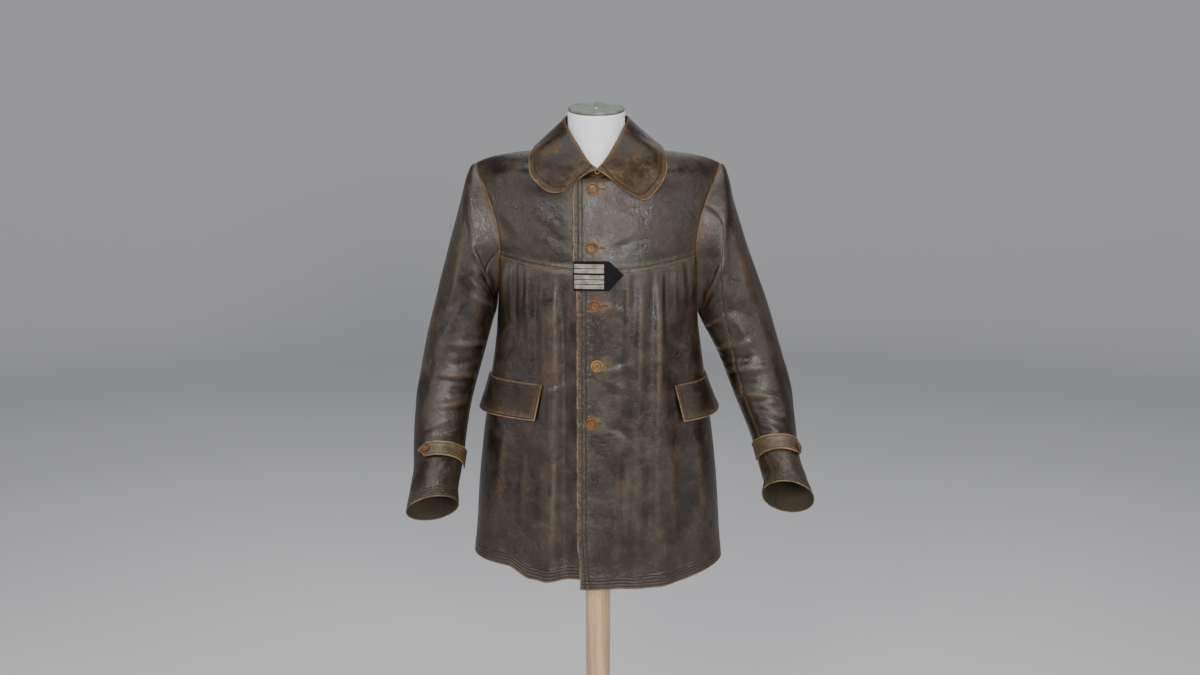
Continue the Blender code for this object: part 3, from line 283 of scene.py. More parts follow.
def hide(name, dark, mid, rubbed, blotch=1.0, scuffs=0.5, edge_rows=None, hem_rows=None, shine=0.58):
    """A leather material; edge_rows and hem_rows are the first row, the pitch and the count."""
    made, tree, shader = new_finish(name)
    wear = node(tree, "ShaderNodeAttribute", attribute_name="wear").outputs["Fac"]
    values = {"Dark": (*dark, 1), "Mid": (*mid, 1), "Rubbed": (*rubbed, 1)}
    values.update({"Wear": wear, "Blotch": blotch, "Scuffs": scuffs})
    skin = node(tree, "ShaderNodeGroup", values, node_tree=HIDE_GROUP)
    height = skin.outputs["Height"]
    colour = skin.outputs["Color"]
    for attribute, rows in (("edge", edge_rows), ("hem", hem_rows)):
        if rows is None:
            continue
        distance = node(tree, "ShaderNodeAttribute", attribute_name=attribute).outputs["Fac"]
        values = {"Distance": distance, "First": rows[0], "Pitch": rows[1], "Count": float(rows[2])}
        sewn = node(tree, "ShaderNodeGroup", values, node_tree=ROWS_GROUP)
        height = maths(tree, "SUBTRACT", height, maths(tree, "MULTIPLY", sewn.outputs["Mask"], 0.55))
        height = maths(tree, "ADD", height, maths(tree, "MULTIPLY", sewn.outputs["Pucker"], 1.3))
        # The hide is painted darker along each row's groove: painted shade in the grooves
        colour = blend(tree, maths(tree, "MULTIPLY", sewn.outputs["Mask"], 0.75), colour, (*dark, 1))
    feed(tree, shader, {"Base Color": colour, "Roughness": skin.outputs["Roughness"],
                        "Normal": bump(tree, height, 0.9, 0.0017), "Specular IOR Level": shine})
    return made


def make_flesh():
    """The raw inner side of the hide: dull, napped and paler."""
    made, tree, shader = new_finish("flesh_side")
    place = own_place(tree)
    nap = noise(tree, place, 420.0, 5.0, 0.7)
    cloud = noise(tree, place, 22.0, 4.0)
    colour = blend(tree, cloud, (0.026, 0.019, 0.010, 1), (0.062, 0.046, 0.026, 1))
    feed(tree, shader, {"Base Color": colour, "Roughness": remap(tree, nap, 0.3, 0.7, 0.80, 0.96),
                        "Normal": bump(tree, nap, 0.6, 0.0006)})
    return made


DARK = (0.0080, 0.0048, 0.0028)
MID = (0.034, 0.0215, 0.0125)
RUBBED = (0.240, 0.155, 0.070)
FRONT_ROWS = (0.0090, 0.0075, 2)
HEM_ROWS = (0.0035, 0.0060, 4)
YOKE_ROWS = (0.0055, 0.0060, 1)
BODY_HIDE = hide("body_hide", DARK, MID, RUBBED, edge_rows=FRONT_ROWS, hem_rows=HEM_ROWS)
YOKE_MID = (0.028, 0.0170, 0.0095)
YOKE_HIDE = hide("yoke_hide", DARK, YOKE_MID, RUBBED, edge_rows=FRONT_ROWS, hem_rows=YOKE_ROWS)
FLESH = make_flesh()


def make_thread():
    made, tree, shader = new_finish("waxed_thread")
    dirt = noise(tree, own_place(tree), 60.0, 4.0)
    tint = blend(tree, dirt, (0.110, 0.078, 0.044, 1), (0.380, 0.300, 0.185, 1))
    feed(tree, shader, {"Base Color": tint, "Roughness": 0.6})
    return made


WAXED_THREAD = make_thread()


def distances(points):
    """Each point's distance along the panel from its first and last column and row."""
    across = np.linalg.norm(np.diff(points, axis=0), axis=2)
    up = np.linalg.norm(np.diff(points, axis=1), axis=2)
    left = np.concatenate([np.zeros((1, points.shape[1])), np.cumsum(across, axis=0)])
    low = np.concatenate([np.zeros((points.shape[0], 1)), np.cumsum(up, axis=1)], axis=1)
    return left, left[-1:] - left, low, low[:, -1:] - low


def spaced(length, cell, start=(), end=()):
    """Shares from 0 to 1 along a length: even cells, and closer places at distances from the ends."""
    first = max(start) if start else 0.0
    last = length - (max(end) if end else 0.0)
    count = max(int(round((last - first) / cell)), 2)
    even = np.linspace(first, last, count + 1)
    places = np.concatenate([[0.0], start, even, [length - place for place in end], [length]])
    return np.unique(np.round(places, 6)) / length


def close_cloth(name, points, finish, edge, wear, hem=None, thickness=LEATHER, inner=None):
    """A leather piece: a shaped grid with its seam distances and wear, thickened inwards."""
    piece, column, row = grid_piece(name, points)
    mesh = piece.data
    for key, values in (("edge", edge), ("wear", wear), ("hem", hem)):
        if values is not None:
            layer = mesh.attributes.new(key, "FLOAT", "POINT")
            layer.data.foreach_set("value", np.ascontiguousarray(values[column, row], dtype=np.float32))
    left, _, low, _ = distances(points)
    corners = np.empty(len(mesh.loops), dtype=np.int32)
    mesh.loops.foreach_get("vertex_index", corners)
    flat = np.stack([left[column, row], low[column, row]], axis=1)[corners]
    mesh.uv_layers.active.data.foreach_set("uv", flat.ravel())
    mesh.materials.append(finish)
    mesh.materials.append(inner or FLESH)
    wall = piece.modifiers.new("thickness", "SOLIDIFY")
    wall.thickness = thickness
    wall.offset = -1.0
    wall.material_offset = 1
    wall.material_offset_rim = 0
    bpy.ops.object.modifier_apply(modifier=wall.name)
    bpy.ops.object.shade_smooth_by_angle(angle=math.radians(50))
    return piece


def joined_mesh(name, vertices, faces, finish):
    """One mesh from arrays of vertices and faces, for what repeats hundreds of times."""
    mesh = bpy.data.meshes.new(name)
    mesh.from_pydata(vertices, [], faces)
    mesh.materials.append(finish)
    mesh.shade_smooth()
    piece = bpy.data.objects.new(name, mesh)
    bpy.context.collection.objects.link(piece)
    return piece


STITCH_FACES = ((0, 1, 2), (0, 2, 3), (0, 3, 4), (0, 4, 1), (5, 2, 1), (5, 3, 2), (5, 4, 3), (5, 1, 4))


def thread_bar(start, end, up, radius=THREAD):
    """A stitch that shows between two needle holes: it dips into the leather at both ends."""
    way = end - start
    side = np.cross(up, way / max(np.linalg.norm(way), 1e-9))
    centre = (start + end) / 2 + up * radius * 0.35
    ring = (centre + up * radius, centre + side * radius, centre - up * radius, centre - side * radius)
    return [start - up * radius, *ring, end - up * radius]


def stitches(paths, pitch=0.0034, length=0.0026, radius=THREAD):
    """Vertices and faces of thread stitches along paths of (points, normals)."""
    vertices, faces = [], []
    for points, normals in paths:
        steps = np.linalg.norm(np.diff(points, axis=0), axis=1)
        along = np.concatenate([[0.0], np.cumsum(steps)])
        middles = np.arange(pitch * 0.6, along[-1] - pitch * 0.5, pitch)
        for middle in middles:
            start, end = (np.array([np.interp(middle + shift, along, points[:, k]) for k in range(3)])
                          for shift in (-length / 2, length / 2))
            up = np.array([np.interp(middle, along, normals[:, k]) for k in range(3)])
            first = len(vertices)
            vertices += thread_bar(start, end, up / np.linalg.norm(up), radius)
            faces += [tuple(first + k for k in face) for face in STITCH_FACES]
    return vertices, faces


def inset_path(points, normals, edge, distance):
    """The line on a shaped grid at a distance in from one of its edges, with its normals."""
    grids = [points, normals]
    if edge in ("last", "high"):
        grids = [np.flip(grid, 0 if edge == "last" else 1) for grid in grids]
    if edge in ("low", "high"):
        grids = [grid.swapaxes(0, 1) for grid in grids]
    travelled = distances(grids[0])[0]
    lines = []
    for grid in grids:
        lines.append(np.array([[np.interp(distance, travelled[:, k], grid[:, k, axis]) for axis in range(3)]
                               for k in range(grid.shape[1])]))
    return tuple(lines)


def joined_paths(name, made, finish, slot_name):
    """One piece from several (vertices, faces), on the one body."""
    vertices, faces = [], []
    for more_vertices, more_faces in made:
        first = len(vertices)
        vertices += list(more_vertices)
        faces += [tuple(first + k for k in face) for face in more_faces]
    piece = joined_mesh(name, vertices, faces, finish)
    ride(piece, slot_name)
    return piece


def bead(points, normals, radius, sides=8):
    """Vertices and faces of a turned leather edge: a fine round roll along a path."""
    way = np.gradient(points, axis=0)
    way /= np.linalg.norm(way, axis=1)[:, None]
    up = normals / np.linalg.norm(normals, axis=1)[:, None]
    side = np.cross(up, way)
    turn = np.linspace(0, 2 * math.pi, sides, endpoint=False)
    around = np.cos(turn)[None, :, None] * up[:, None] + np.sin(turn)[None, :, None] * side[:, None]
    rings = points[:, None] + radius * around
    vertices = list(rings.reshape(-1, 3))
    faces = []
    for i in range(len(points) - 1):
        for k in range(sides):
            after = (k + 1) % sides
            faces.append((i * sides + k, i * sides + after, (i + 1) * sides + after, (i + 1) * sides + k))
    faces.append(tuple(range(sides)))
    faces.append(tuple(range((len(points) - 1) * sides, len(points) * sides))[::-1])
    return vertices, faces


def ride(piece, slot_name, *nodes):
    """Puts a piece on the one body and hides the solids that it stands for; slot_name is not used."""
    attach(piece, "root")
    if nodes:
        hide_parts(*nodes)


# Fronts, back and yokes
# The body is cut as two fronts and a back below a yoke that runs round the chest, all of one hide.
# One smooth surface carries each side: across runs from -1 at the right side seam or armhole to 1
# at the left one, row from 0 at the hem to 12 at the shoulder seam, as in the solids.
SEAM = 0.0003
SHOULDER_HALF, SHOULDER_HEIGHT = 0.228, 1.404
NECK_HALF, NECK_POINT_Y, NECK_POINT_HEIGHT = 0.068, 0.004, 1.433
NECK_FRONT_Y, NECK_FRONT_HEIGHT = -0.092, 1.384
NECK_BACK_Y, NECK_BACK_HEIGHT = 0.066, 1.447
ARMPIT_RIGHT, ARMPIT_LEFT = 1.161, 1.128
FRONT_LAP, NECK_LAP, HEM_LAP, UNDERLAP_X = 0.0025, 0.0017, 0.0012, 0.012
FULL_ROUND, TOP, ARMPIT_ROW, YOKE_ROW = 0.435, 12, 7, 8
FOLD_TOP_ROW, FOLD_FULL_ROW = 7.9, 6.2
SOFT = 0.80    # the hide is stiff, so its creases stay shallower than cloth's would

# Heights at the centre front, centre back and side seam, half width, depths at the armhole edges,
# at the centre front and back, how square the section is, and how far it arches up in between
SECTIONS = np.array((
    (0.655, 0.655, 0.655, 0.2390, 0.000, 0.000, -0.124, 0.120, 2.3, 0, 0),
    (0.725, 0.725, 0.725, 0.2335, 0.000, 0.000, -0.121, 0.117, 2.3, 0, 0),
    (0.795, 0.795, 0.795, 0.2290, 0.000, 0.000, -0.118, 0.114, 2.3, 0, 0),
    (0.870, 0.870, 0.870, 0.2215, 0.000, 0.000, -0.115, 0.111, 2.3, 0, 0),
    (0.940, 0.940, 0.940, 0.2125, 0.000, 0.000, -0.113, 0.108, 2.3, 0, 0),
    (1.010, 1.010, 1.010, 0.2025, 0.000, 0.000, -0.112, 0.106, 2.3, 0, 0),
    (1.080, 1.080, 1.075, 0.1935, 0.000, 0.000, -0.113, 0.108, 2.3, 0, 0),
    (1.148, 1.150, 1.161, 0.1870, 0.000, 0.000, -0.115, 0.113, 2.3, 0, 0),
    (1.212, 1.225, 1.236, 0.1810, -0.052, 0.055, -0.116, 0.119, 2.3, 0, 0),
    (1.272, 1.290, 1.295, 0.1860, -0.058, 0.062, -0.112, 0.119, 2.3, 0, 0.002),
    (1.328, 1.352, 1.350, 0.2035, -0.046, 0.050, -0.106, 0.110, 2.2, 0.012, 0.008),
    (1.364, 1.408, 1.386, 0.2195, -0.027, 0.030, -0.099, 0.090, 2.2, 0.030, 0.010),
)).T
(Z_FRONT, Z_BACK, Z_SIDE, HALF, SIDE_FRONT, SIDE_BACK,
 FRONT_Y, BACK_Y, SQUARE, ARCH_FRONT, ARCH_BACK) = SECTIONS

# How far the front hem drops below the side seam, from the centre to each side
DIP_SHARE = (0.00, 0.20, 0.40, 0.56, 0.70, 0.86, 1.00)
DIP_RIGHT = (0.016, 0.017, 0.023, 0.019, 0.001, -0.002, -0.006)
DIP_LEFT = (0.036, 0.035, 0.034, 0.031, 0.026, 0.014, 0.004)

# Largest folds, as in the solids: place across at the chest seam and at the hem, half width, height
FRONT_FOLDS = (
    (-0.150, -0.172, 0.022, -0.0040), (-0.090, -0.092, 0.013, 0.0062), (-0.062, -0.060, 0.011, -0.0058),
    (0.034, 0.032, 0.018, -0.0030), (0.076, 0.070, 0.014, 0.0035), (0.112, 0.116, 0.014, 0.0055),
    (0.150, 0.165, 0.020, -0.0048),
)
BACK_FOLDS = (
    (-0.120, -0.150, 0.018, 0.0050), (-0.070, -0.088, 0.020, -0.0050), (-0.015, -0.020, 0.018, 0.0045),
    (0.040, 0.048, 0.020, -0.0050), (0.105, 0.130, 0.018, 0.0055),
)

# Smaller creases: from one end (across, height) to the other, half width, height, bow
Crease = namedtuple("Crease", "a0 b0 a1 b1 width height bow")
BUTTON_PLACES = ((-0.010, 1.361), (-0.011, 1.257), (-0.005, 1.153), (-0.002, 1.042), (-0.013, 0.934))
FRONT_CREASES = (
    Crease(-0.168, 1.232, -0.176, 1.120, 0.0060, 0.0022, 0.004),
    Crease(-0.148, 1.232, -0.150, 1.090, 0.0050, -0.0020, 0.003),
    Crease(-0.131, 1.228, -0.134, 1.130, 0.0042, 0.0019, -0.003),
    Crease(-0.114, 1.226, -0.110, 1.000, 0.0060, -0.0026, 0.004),
    Crease(-0.101, 1.222, -0.100, 1.140, 0.0036, 0.0016, 0.002),
    Crease(-0.083, 1.224, -0.079, 0.860, 0.0070, 0.0030, -0.005),
    Crease(-0.070, 1.218, -0.069, 1.090, 0.0036, -0.0018, 0.002),
    Crease(-0.058, 1.218, -0.055, 1.040, 0.0050, 0.0016, -0.003),
    Crease(-0.074, 0.900, -0.083, 0.690, 0.0060, 0.0026, 0.004),
    Crease(-0.104, 0.930, -0.112, 0.680, 0.0080, -0.0024, -0.004),
    Crease(-0.128, 0.900, -0.140, 0.700, 0.0090, 0.0020, 0.004),
    Crease(-0.168, 0.930, -0.192, 0.720, 0.0100, 0.0022, 0.003),
    Crease(-0.050, 1.130, -0.092, 1.098, 0.0055, -0.0016, 0.003),
    Crease(-0.052, 1.010, -0.105, 0.986, 0.0060, 0.0015, -0.003),
    Crease(-0.050, 0.880, -0.085, 0.852, 0.0060, -0.0015, 0.002),
    Crease(0.020, 1.214, 0.018, 1.170, 0.0035, 0.0014, 0.001),
    Crease(0.036, 1.216, 0.032, 1.120, 0.0042, -0.0017, 0.002),
    Crease(0.052, 1.218, 0.049, 1.030, 0.0060, 0.0024, -0.004),
    Crease(0.066, 1.220, 0.064, 1.130, 0.0040, -0.0018, 0.002),
    Crease(0.084, 1.222, 0.080, 0.940, 0.0065, 0.0026, 0.004),
    Crease(0.098, 1.224, 0.096, 1.120, 0.0040, -0.0019, -0.002),
    Crease(0.108, 1.226, 0.110, 0.900, 0.0060, 0.0028, -0.003),
    Crease(0.124, 1.228, 0.127, 1.070, 0.0040, -0.0022, 0.002),
    Crease(0.141, 1.230, 0.146, 1.100, 0.0050, 0.0018, 0.003),
    Crease(0.160, 1.232, 0.166, 1.130, 0.0055, -0.0019, -0.003),
    Crease(0.010, 1.152, 0.060, 1.128, 0.0060, 0.0016, -0.004),
    Crease(0.014, 1.040, 0.075, 1.062, 0.0065, -0.0016, 0.004),
    Crease(0.010, 1.020, 0.058, 0.992, 0.0060, 0.0014, 0.003),
    Crease(0.006, 0.932, 0.060, 0.905, 0.0065, -0.0015, -0.003),
    Crease(0.135, 1.085, 0.180, 1.062, 0.0060, 0.0018, 0.003),
    Crease(0.128, 1.050, 0.176, 1.035, 0.0055, -0.0016, -0.002),
    Crease(0.058, 0.900, 0.050, 0.690, 0.0080, 0.0024, 0.004),
    Crease(0.094, 0.880, 0.092, 0.680, 0.0070, -0.0022, -0.003),
    Crease(0.132, 0.920, 0.150, 0.690, 0.0085, 0.0026, 0.004),
    Crease(0.178, 0.920, 0.202, 0.710, 0.0095, 0.0024, -0.003),
    Crease(-0.160, 1.112, -0.184, 1.070, 0.0060, 0.0018, 0.003),
    Crease(-0.150, 1.092, -0.182, 1.040, 0.0060, -0.0018, -0.002),
)
BACK_CREASES = (
    Crease(-0.165, 1.236, -0.176, 1.110, 0.0060, 0.0020, 0.004),
    Crease(-0.140, 1.232, -0.146, 1.060, 0.0065, -0.0022, 0.004),
    Crease(-0.112, 1.230, -0.118, 0.950, 0.0075, 0.0026, -0.005),
    Crease(-0.090, 1.228, -0.094, 1.120, 0.0048, -0.0018, 0.002),
    Crease(-0.062, 1.226, -0.070, 0.900, 0.0080, 0.0026, 0.004),
    Crease(-0.034, 1.226, -0.038, 1.080, 0.0050, -0.0018, -0.003),
    Crease(-0.004, 1.224, -0.010, 0.860, 0.0085, 0.0024, 0.004),
    Crease(0.026, 1.226, 0.028, 1.100, 0.0050, -0.0018, 0.003),
    Crease(0.055, 1.226, 0.062, 0.930, 0.0078, 0.0026, -0.004),
    Crease(0.082, 1.228, 0.086, 1.090, 0.0050, -0.0020, 0.002),
    Crease(0.110, 1.230, 0.122, 0.960, 0.0072, 0.0024, 0.004),
    Crease(0.136, 1.232, 0.146, 1.080, 0.0055, -0.0020, -0.003),
    Crease(0.160, 1.236, 0.172, 1.130, 0.0058, 0.0020, 0.003),
    Crease(-0.150, 1.060, -0.040, 1.030, 0.0085, 0.0020, 0.006),
    Crease(-0.020, 1.040, 0.110, 1.066, 0.0090, -0.0020, -0.006),
    Crease(-0.130, 1.000, -0.020, 1.012, 0.0080, -0.0016, 0.005),
    Crease(0.050, 1.008, 0.165, 1.030, 0.0085, 0.0018, 0.005),
    Crease(-0.110, 0.900, -0.150, 0.690, 0.0090, 0.0024, 0.004),
    Crease(0.100, 0.900, 0.140, 0.690, 0.0090, 0.0024, -0.004),
    Crease(0.010, 0.880, 0.000, 0.680, 0.0085, -0.0022, 0.004),
    Crease(-0.150, 1.345, -0.080, 1.290, 0.0085, 0.0020, 0.005),
    Crease(0.150, 1.345, 0.075, 1.285, 0.0085, 0.0020, -0.005),
    Crease(-0.100, 1.300, 0.090, 1.292, 0.0100, -0.0018, 0.008),
)
YOKE_CREASES = (
    Crease(0.108, 1.345, 0.150, 1.300, 0.0040, 0.0011, 0.002),
    Crease(0.122, 1.352, 0.172, 1.296, 0.0035, -0.0011, 0.002),
    Crease(0.118, 1.322, 0.146, 1.270, 0.0038, 0.0010, -0.002),
    Crease(0.140, 1.340, 0.182, 1.292, 0.0036, 0.0011, 0.001),
    Crease(0.132, 1.300, 0.168, 1.252, 0.0040, -0.0010, 0.002),
    Crease(0.098, 1.300, 0.126, 1.262, 0.0036, 0.0009, -0.001),
    Crease(0.048, 1.330, 0.092, 1.318, 0.0060, -0.0012, 0.003),
    Crease(0.020, 1.262, 0.078, 1.282, 0.0060, 0.0011, -0.003),
    Crease(0.010, 1.355, 0.050, 1.330, 0.0050, 0.0012, 0.002),
    Crease(-0.176, 1.330, -0.120, 1.262, 0.0095, 0.0013, 0.004),
    Crease(-0.188, 1.316, -0.150, 1.256, 0.0080, -0.0011, 0.003),
    Crease(-0.130, 1.338, -0.072, 1.276, 0.0105, 0.0010, -0.004),
    Crease(-0.100, 1.312, -0.052, 1.252, 0.0110, -0.0010, 0.004),
    Crease(-0.066, 1.326, -0.046, 1.288, 0.0080, 0.0007, 0.002),
)


def hermite(before, start, end, after, share):
    square, cube = share ** 2, share ** 3
    return (
        start * (2 * cube - 3 * square + 1) + (end - before) / 2 * (cube - 2 * square + share)
        + end * (3 * square - 2 * cube) + (after - start) / 2 * (cube - square)
    )


def curve(values, place):
    """A smooth curve through evenly numbered values, read at an array of places."""
    values = np.asarray(values, float)
    last = len(values) - 1
    full = np.concatenate([[2 * values[0] - values[1]], values, [2 * values[-1] - values[-2]]])
    place = np.clip(np.asarray(place, float), 0, last)
    index = np.minimum(place.astype(int), last - 1)
    share = place - index
    if values.ndim == 2:
        share = share[..., None]
    return hermite(full[index], full[index + 1], full[index + 2], full[index + 3], share)


def creases(table, a, b, strength=1.0):
    """Height that a table of creases gives: each a soft ridge or trough with a shallow rebound."""
    total = np.zeros_like(a)
    for crease in table:
        da, db = crease.a1 - crease.a0, crease.b1 - crease.b0
        length = math.hypot(da, db)
        along = ((a - crease.a0) * da + (b - crease.b0) * db) / length ** 2
        inside = np.clip(along, 0, 1)
        off = ((a - crease.a0) * db - (b - crease.b0) * da) / length
        off = (off - crease.bow * 4 * inside * (1 - inside)) / crease.width
        shape = np.exp(-off ** 2) - 0.45 * np.exp(-(off - 1.7) ** 2)
        fading = smooth(-0.02, 0.30, along) * smooth(1.05, 0.55, along)
        total += strength * crease.height * shape * fading
    return total


def top_points(face, across):
    """The neckline, then the shoulder seam out to its tip."""
    share = np.abs(across)
    neck_share = NECK_HALF / SHOULDER_HALF
    if face == "back":
        middle_y, middle_z = NECK_BACK_Y, NECK_BACK_HEIGHT
    else:
        middle_y, middle_z = NECK_FRONT_Y, NECK_FRONT_HEIGHT
    depth = np.sqrt(np.maximum(1 - (share / neck_share) ** 2, 0))
    out = np.maximum(share - neck_share, 0) / (1 - neck_share)
    in_neck = share < neck_share
    y = np.where(in_neck, NECK_POINT_Y + (middle_y - NECK_POINT_Y) * depth, NECK_POINT_Y * (1 - out))
    fall = (SHOULDER_HEIGHT - NECK_POINT_HEIGHT) * (0.55 * out + 0.45 * out ** 6)
    rise = (middle_z - NECK_POINT_HEIGHT) * depth
    z = NECK_POINT_HEIGHT + np.where(in_neck, rise, fall)
    return np.stack([across * SHOULDER_HALF, y, z], axis=-1)


def body_points(face, across, row):
    """Points of the body's outer face; face is "front", "back", "left" or "right"."""
    shape = np.broadcast(across, row).shape
    across = np.clip(np.broadcast_to(across, shape).ravel(), -1, 1)
    row = np.clip(np.broadcast_to(row, shape).ravel(), 0, TOP)
    share, front = np.abs(across), face != "back"
    middle_z, middle_y = (Z_FRONT, FRONT_Y) if front else (Z_BACK, BACK_Y)
    side, arch = (SIDE_FRONT, ARCH_FRONT) if front else (SIDE_BACK, ARCH_BACK)
    side_z = np.repeat(Z_SIDE[:, None], len(share), axis=1)
    side_z[ARMPIT_ROW] = np.where(across < 0, ARMPIT_RIGHT, ARMPIT_LEFT)
    height = middle_z[:, None] + (side_z - middle_z[:, None]) * share ** 2
    height += 4 * arch[:, None] * share * (1 - share)
    if front:
        drop_right = np.interp(share, DIP_SHARE, DIP_RIGHT)
        drop_left = np.interp(share, DIP_SHARE, DIP_LEFT)
        on_right = np.full(len(share), face == "right") if face != "front" else across < 0
        height[0] -= np.where(on_right, drop_right, drop_left)
    rounds = np.where(row < ARMPIT_ROW, TOP, np.where(row < YOKE_ROW, ARMPIT_ROW + 1, ARMPIT_ROW))
    rounded = np.arange(TOP)[:, None] < rounds[None]
    base = np.maximum(1 - share ** SQUARE[:, None], 0)
    depth = np.where(rounded, base ** FULL_ROUND, base)
    side_y = np.where(rounded, 0.0, side[:, None])
    y = side_y + (middle_y[:, None] - side_y) * depth
    points = np.stack([across * HALF[:, None], y, height], axis=-1)
    top = top_points(face, across)
    last = points[-1]
    over = np.stack([last[:, 0], 2 * top[:, 1] - last[:, 1], last[:, 2]], axis=-1)
    beyond = 2 * top - last
    beyond = beyond + (over - beyond) * smooth(0.28, 0.40, share)[:, None]
    full = np.concatenate([[2 * points[0] - points[1]], points, [top], [beyond]])
    index = np.minimum(row.astype(int), TOP - 1)
    pick = np.arange(len(share))
    point = hermite(*(full[index + shift, pick] for shift in range(4)), (row - index)[:, None])
    point += outward(point) * fold_height(face, point, row)[:, None]
    sides = np.concatenate([np.zeros(YOKE_ROW), side[YOKE_ROW:]])
    round_y = side[YOKE_ROW] * np.sqrt(np.maximum(1 - (YOKE_ROW - row) ** 2, 0)) - curve(sides, row)
    in_hole = (row > ARMPIT_ROW) & (row < YOKE_ROW)
    point[:, 1] += np.where(in_hole, round_y * share ** 8, 0) + (-SEAM if front else SEAM) / 2
    return point.reshape(*shape, 3)


def outward(point):
    out = np.stack([point[:, 0] / 0.23 ** 2, point[:, 1] / 0.12 ** 2, np.zeros(len(point))], axis=-1)
    return out / np.maximum(np.linalg.norm(out, axis=1), 1e-9)[:, None]


def fold_height(face, point, row):
    down = 1 - row / YOKE_ROW
    total = np.zeros(len(row))
    for x_top, x_hem, spread, height in (BACK_FOLDS if face == "back" else FRONT_FOLDS):
        middle = x_top + (x_hem - x_top) * down
        total += height * np.exp(-((point[:, 0] - middle) / (spread * (1 + 0.35 * down))) ** 2)
    return total * smooth(FOLD_TOP_ROW, FOLD_FULL_ROW, row)


def body(face, across, row):
    """Points and outward normals of the body's outer face, creases included."""
    across, row = np.broadcast_arrays(np.asarray(across, float), np.asarray(row, float))
    step = np.maximum(0.010 * (1 - np.abs(across)), 0.0004)
    first = body_points(face, across + step, row) - body_points(face, across - step, row)
    second = body_points(face, across, row + 0.05) - body_points(face, across, row - 0.05)
    normal = np.cross(first, second)
    normal /= np.linalg.norm(normal, axis=-1)[..., None]
    if face == "back":
        normal = -normal
    return body_points(face, across, row), normal


def small_creases(face, point, row):
    """Height of the listed creases, which die away towards the seams between the pieces."""
    x, z = point[..., 0], point[..., 2]
    if face == "back":
        return creases(BACK_CREASES, x, z, SOFT)
    lower = creases(FRONT_CREASES, x, z, SOFT) * smooth(YOKE_ROW + 0.05, YOKE_ROW - 0.10, row)
    return lower + creases(YOKE_CREASES, x, z, SOFT) * smooth(YOKE_ROW, YOKE_ROW + 0.3, row)


def half_width(row):
    return curve(np.append(HALF, SHOULDER_HALF), row)


def across_at(angle):
    """Spaces columns evenly round the body: 0 is the middle, 1 the side."""
    return np.sin(angle * math.pi / 2)


def angle_at(x, row):
    return np.arcsin(x / half_width(row)) * 2 / math.pi


def free_edge_x(row):
    return -0.032 - 0.006 * smooth(0.0, 1.0, row) - 0.006 * smooth(7.5, 8.4, row)


def lap_at(x, row):
    """How far the left front stands out over the right one."""
    full = FRONT_LAP + NECK_LAP * smooth(10.0, 11.5, row) + HEM_LAP * smooth(2.0, 0.5, row)
    return full * (1 - smooth(UNDERLAP_X + 0.004, UNDERLAP_X + 0.040, x))


def front_panel(side, share, row):
    """The left front from its free edge to its side, or the right front from its side inwards."""
    if side == "left":
        start = angle_at(free_edge_x(row), row)
        across = across_at(start + (1 - start) * share)
    else:
        across = across_at(-1 + (1 + angle_at(UNDERLAP_X, row)) * share)
    point, normal = body(side, across, row)
    if side == "left":
        point = point + normal * lap_at(point[..., 0], row)[..., None]
    return point, normal


def back_panel(share, row):
    return body("back", across_at(1 - 2 * np.asarray(share)), row)


def front_at(x, z):
    """Points and normals on the outer front, on top of the lap, for places seen from the front."""
    x, z = np.broadcast_arrays(np.asarray(x, float), np.asarray(z, float))
    low, high = np.zeros(x.shape), np.full(x.shape, float(TOP))
    for _ in range(26):
        row = (low + high) / 2
        above = body_points("front", x / half_width(row), row)[..., 2] > z
        low, high = np.where(above, low, row), np.where(above, row, high)
    point, normal = body("front", x / half_width(row), row)
    lift = lap_at(x, row) + small_creases("front", point, row)
    return point + normal * lift[..., None], normal


def sewn_dip(distance, depth=0.0011, reach=0.0028):
    """A seam draws the leather in beside it."""
    return -depth * np.exp(-(distance / reach) ** 2)


def sewn_grooves(distance, rows, depth=0.0007, reach=0.0011):
    """Rows of stitches pull grooves into the hide."""
    first, pitch, count = rows
    return sum(depth * np.exp(-((distance - first - k * pitch) / reach) ** 2) for k in range(count))


def second_layer(distance, height, start, full):
    """An edge that is turned under or lapped stands up by its second layer."""
    return height * smooth(start, full, distance)


def edge_wear(distance, bare, bare_reach, polish, polish_reach):
    """Hide rubbed bare along an edge, and polished for some way in from it."""
    return np.maximum(bare * np.exp(-(distance / bare_reach) ** 2), polish * np.exp(-distance / polish_reach))


def relaxed(point, row, turns=60):
    """Eases the surface where it turns from the side seam into the armholes."""
    weight = 0.5 * smooth(0.9, 0.2, np.abs(row - ARMPIT_ROW))[..., None]
    weight[:3] = weight[-3:] = 0.0
    for _ in range(turns):
        between = (point[:, 2:] + point[:, :-2]) / 2
        point[:, 1:-1] += weight[:, 1:-1] * (between - point[:, 1:-1])
    return point


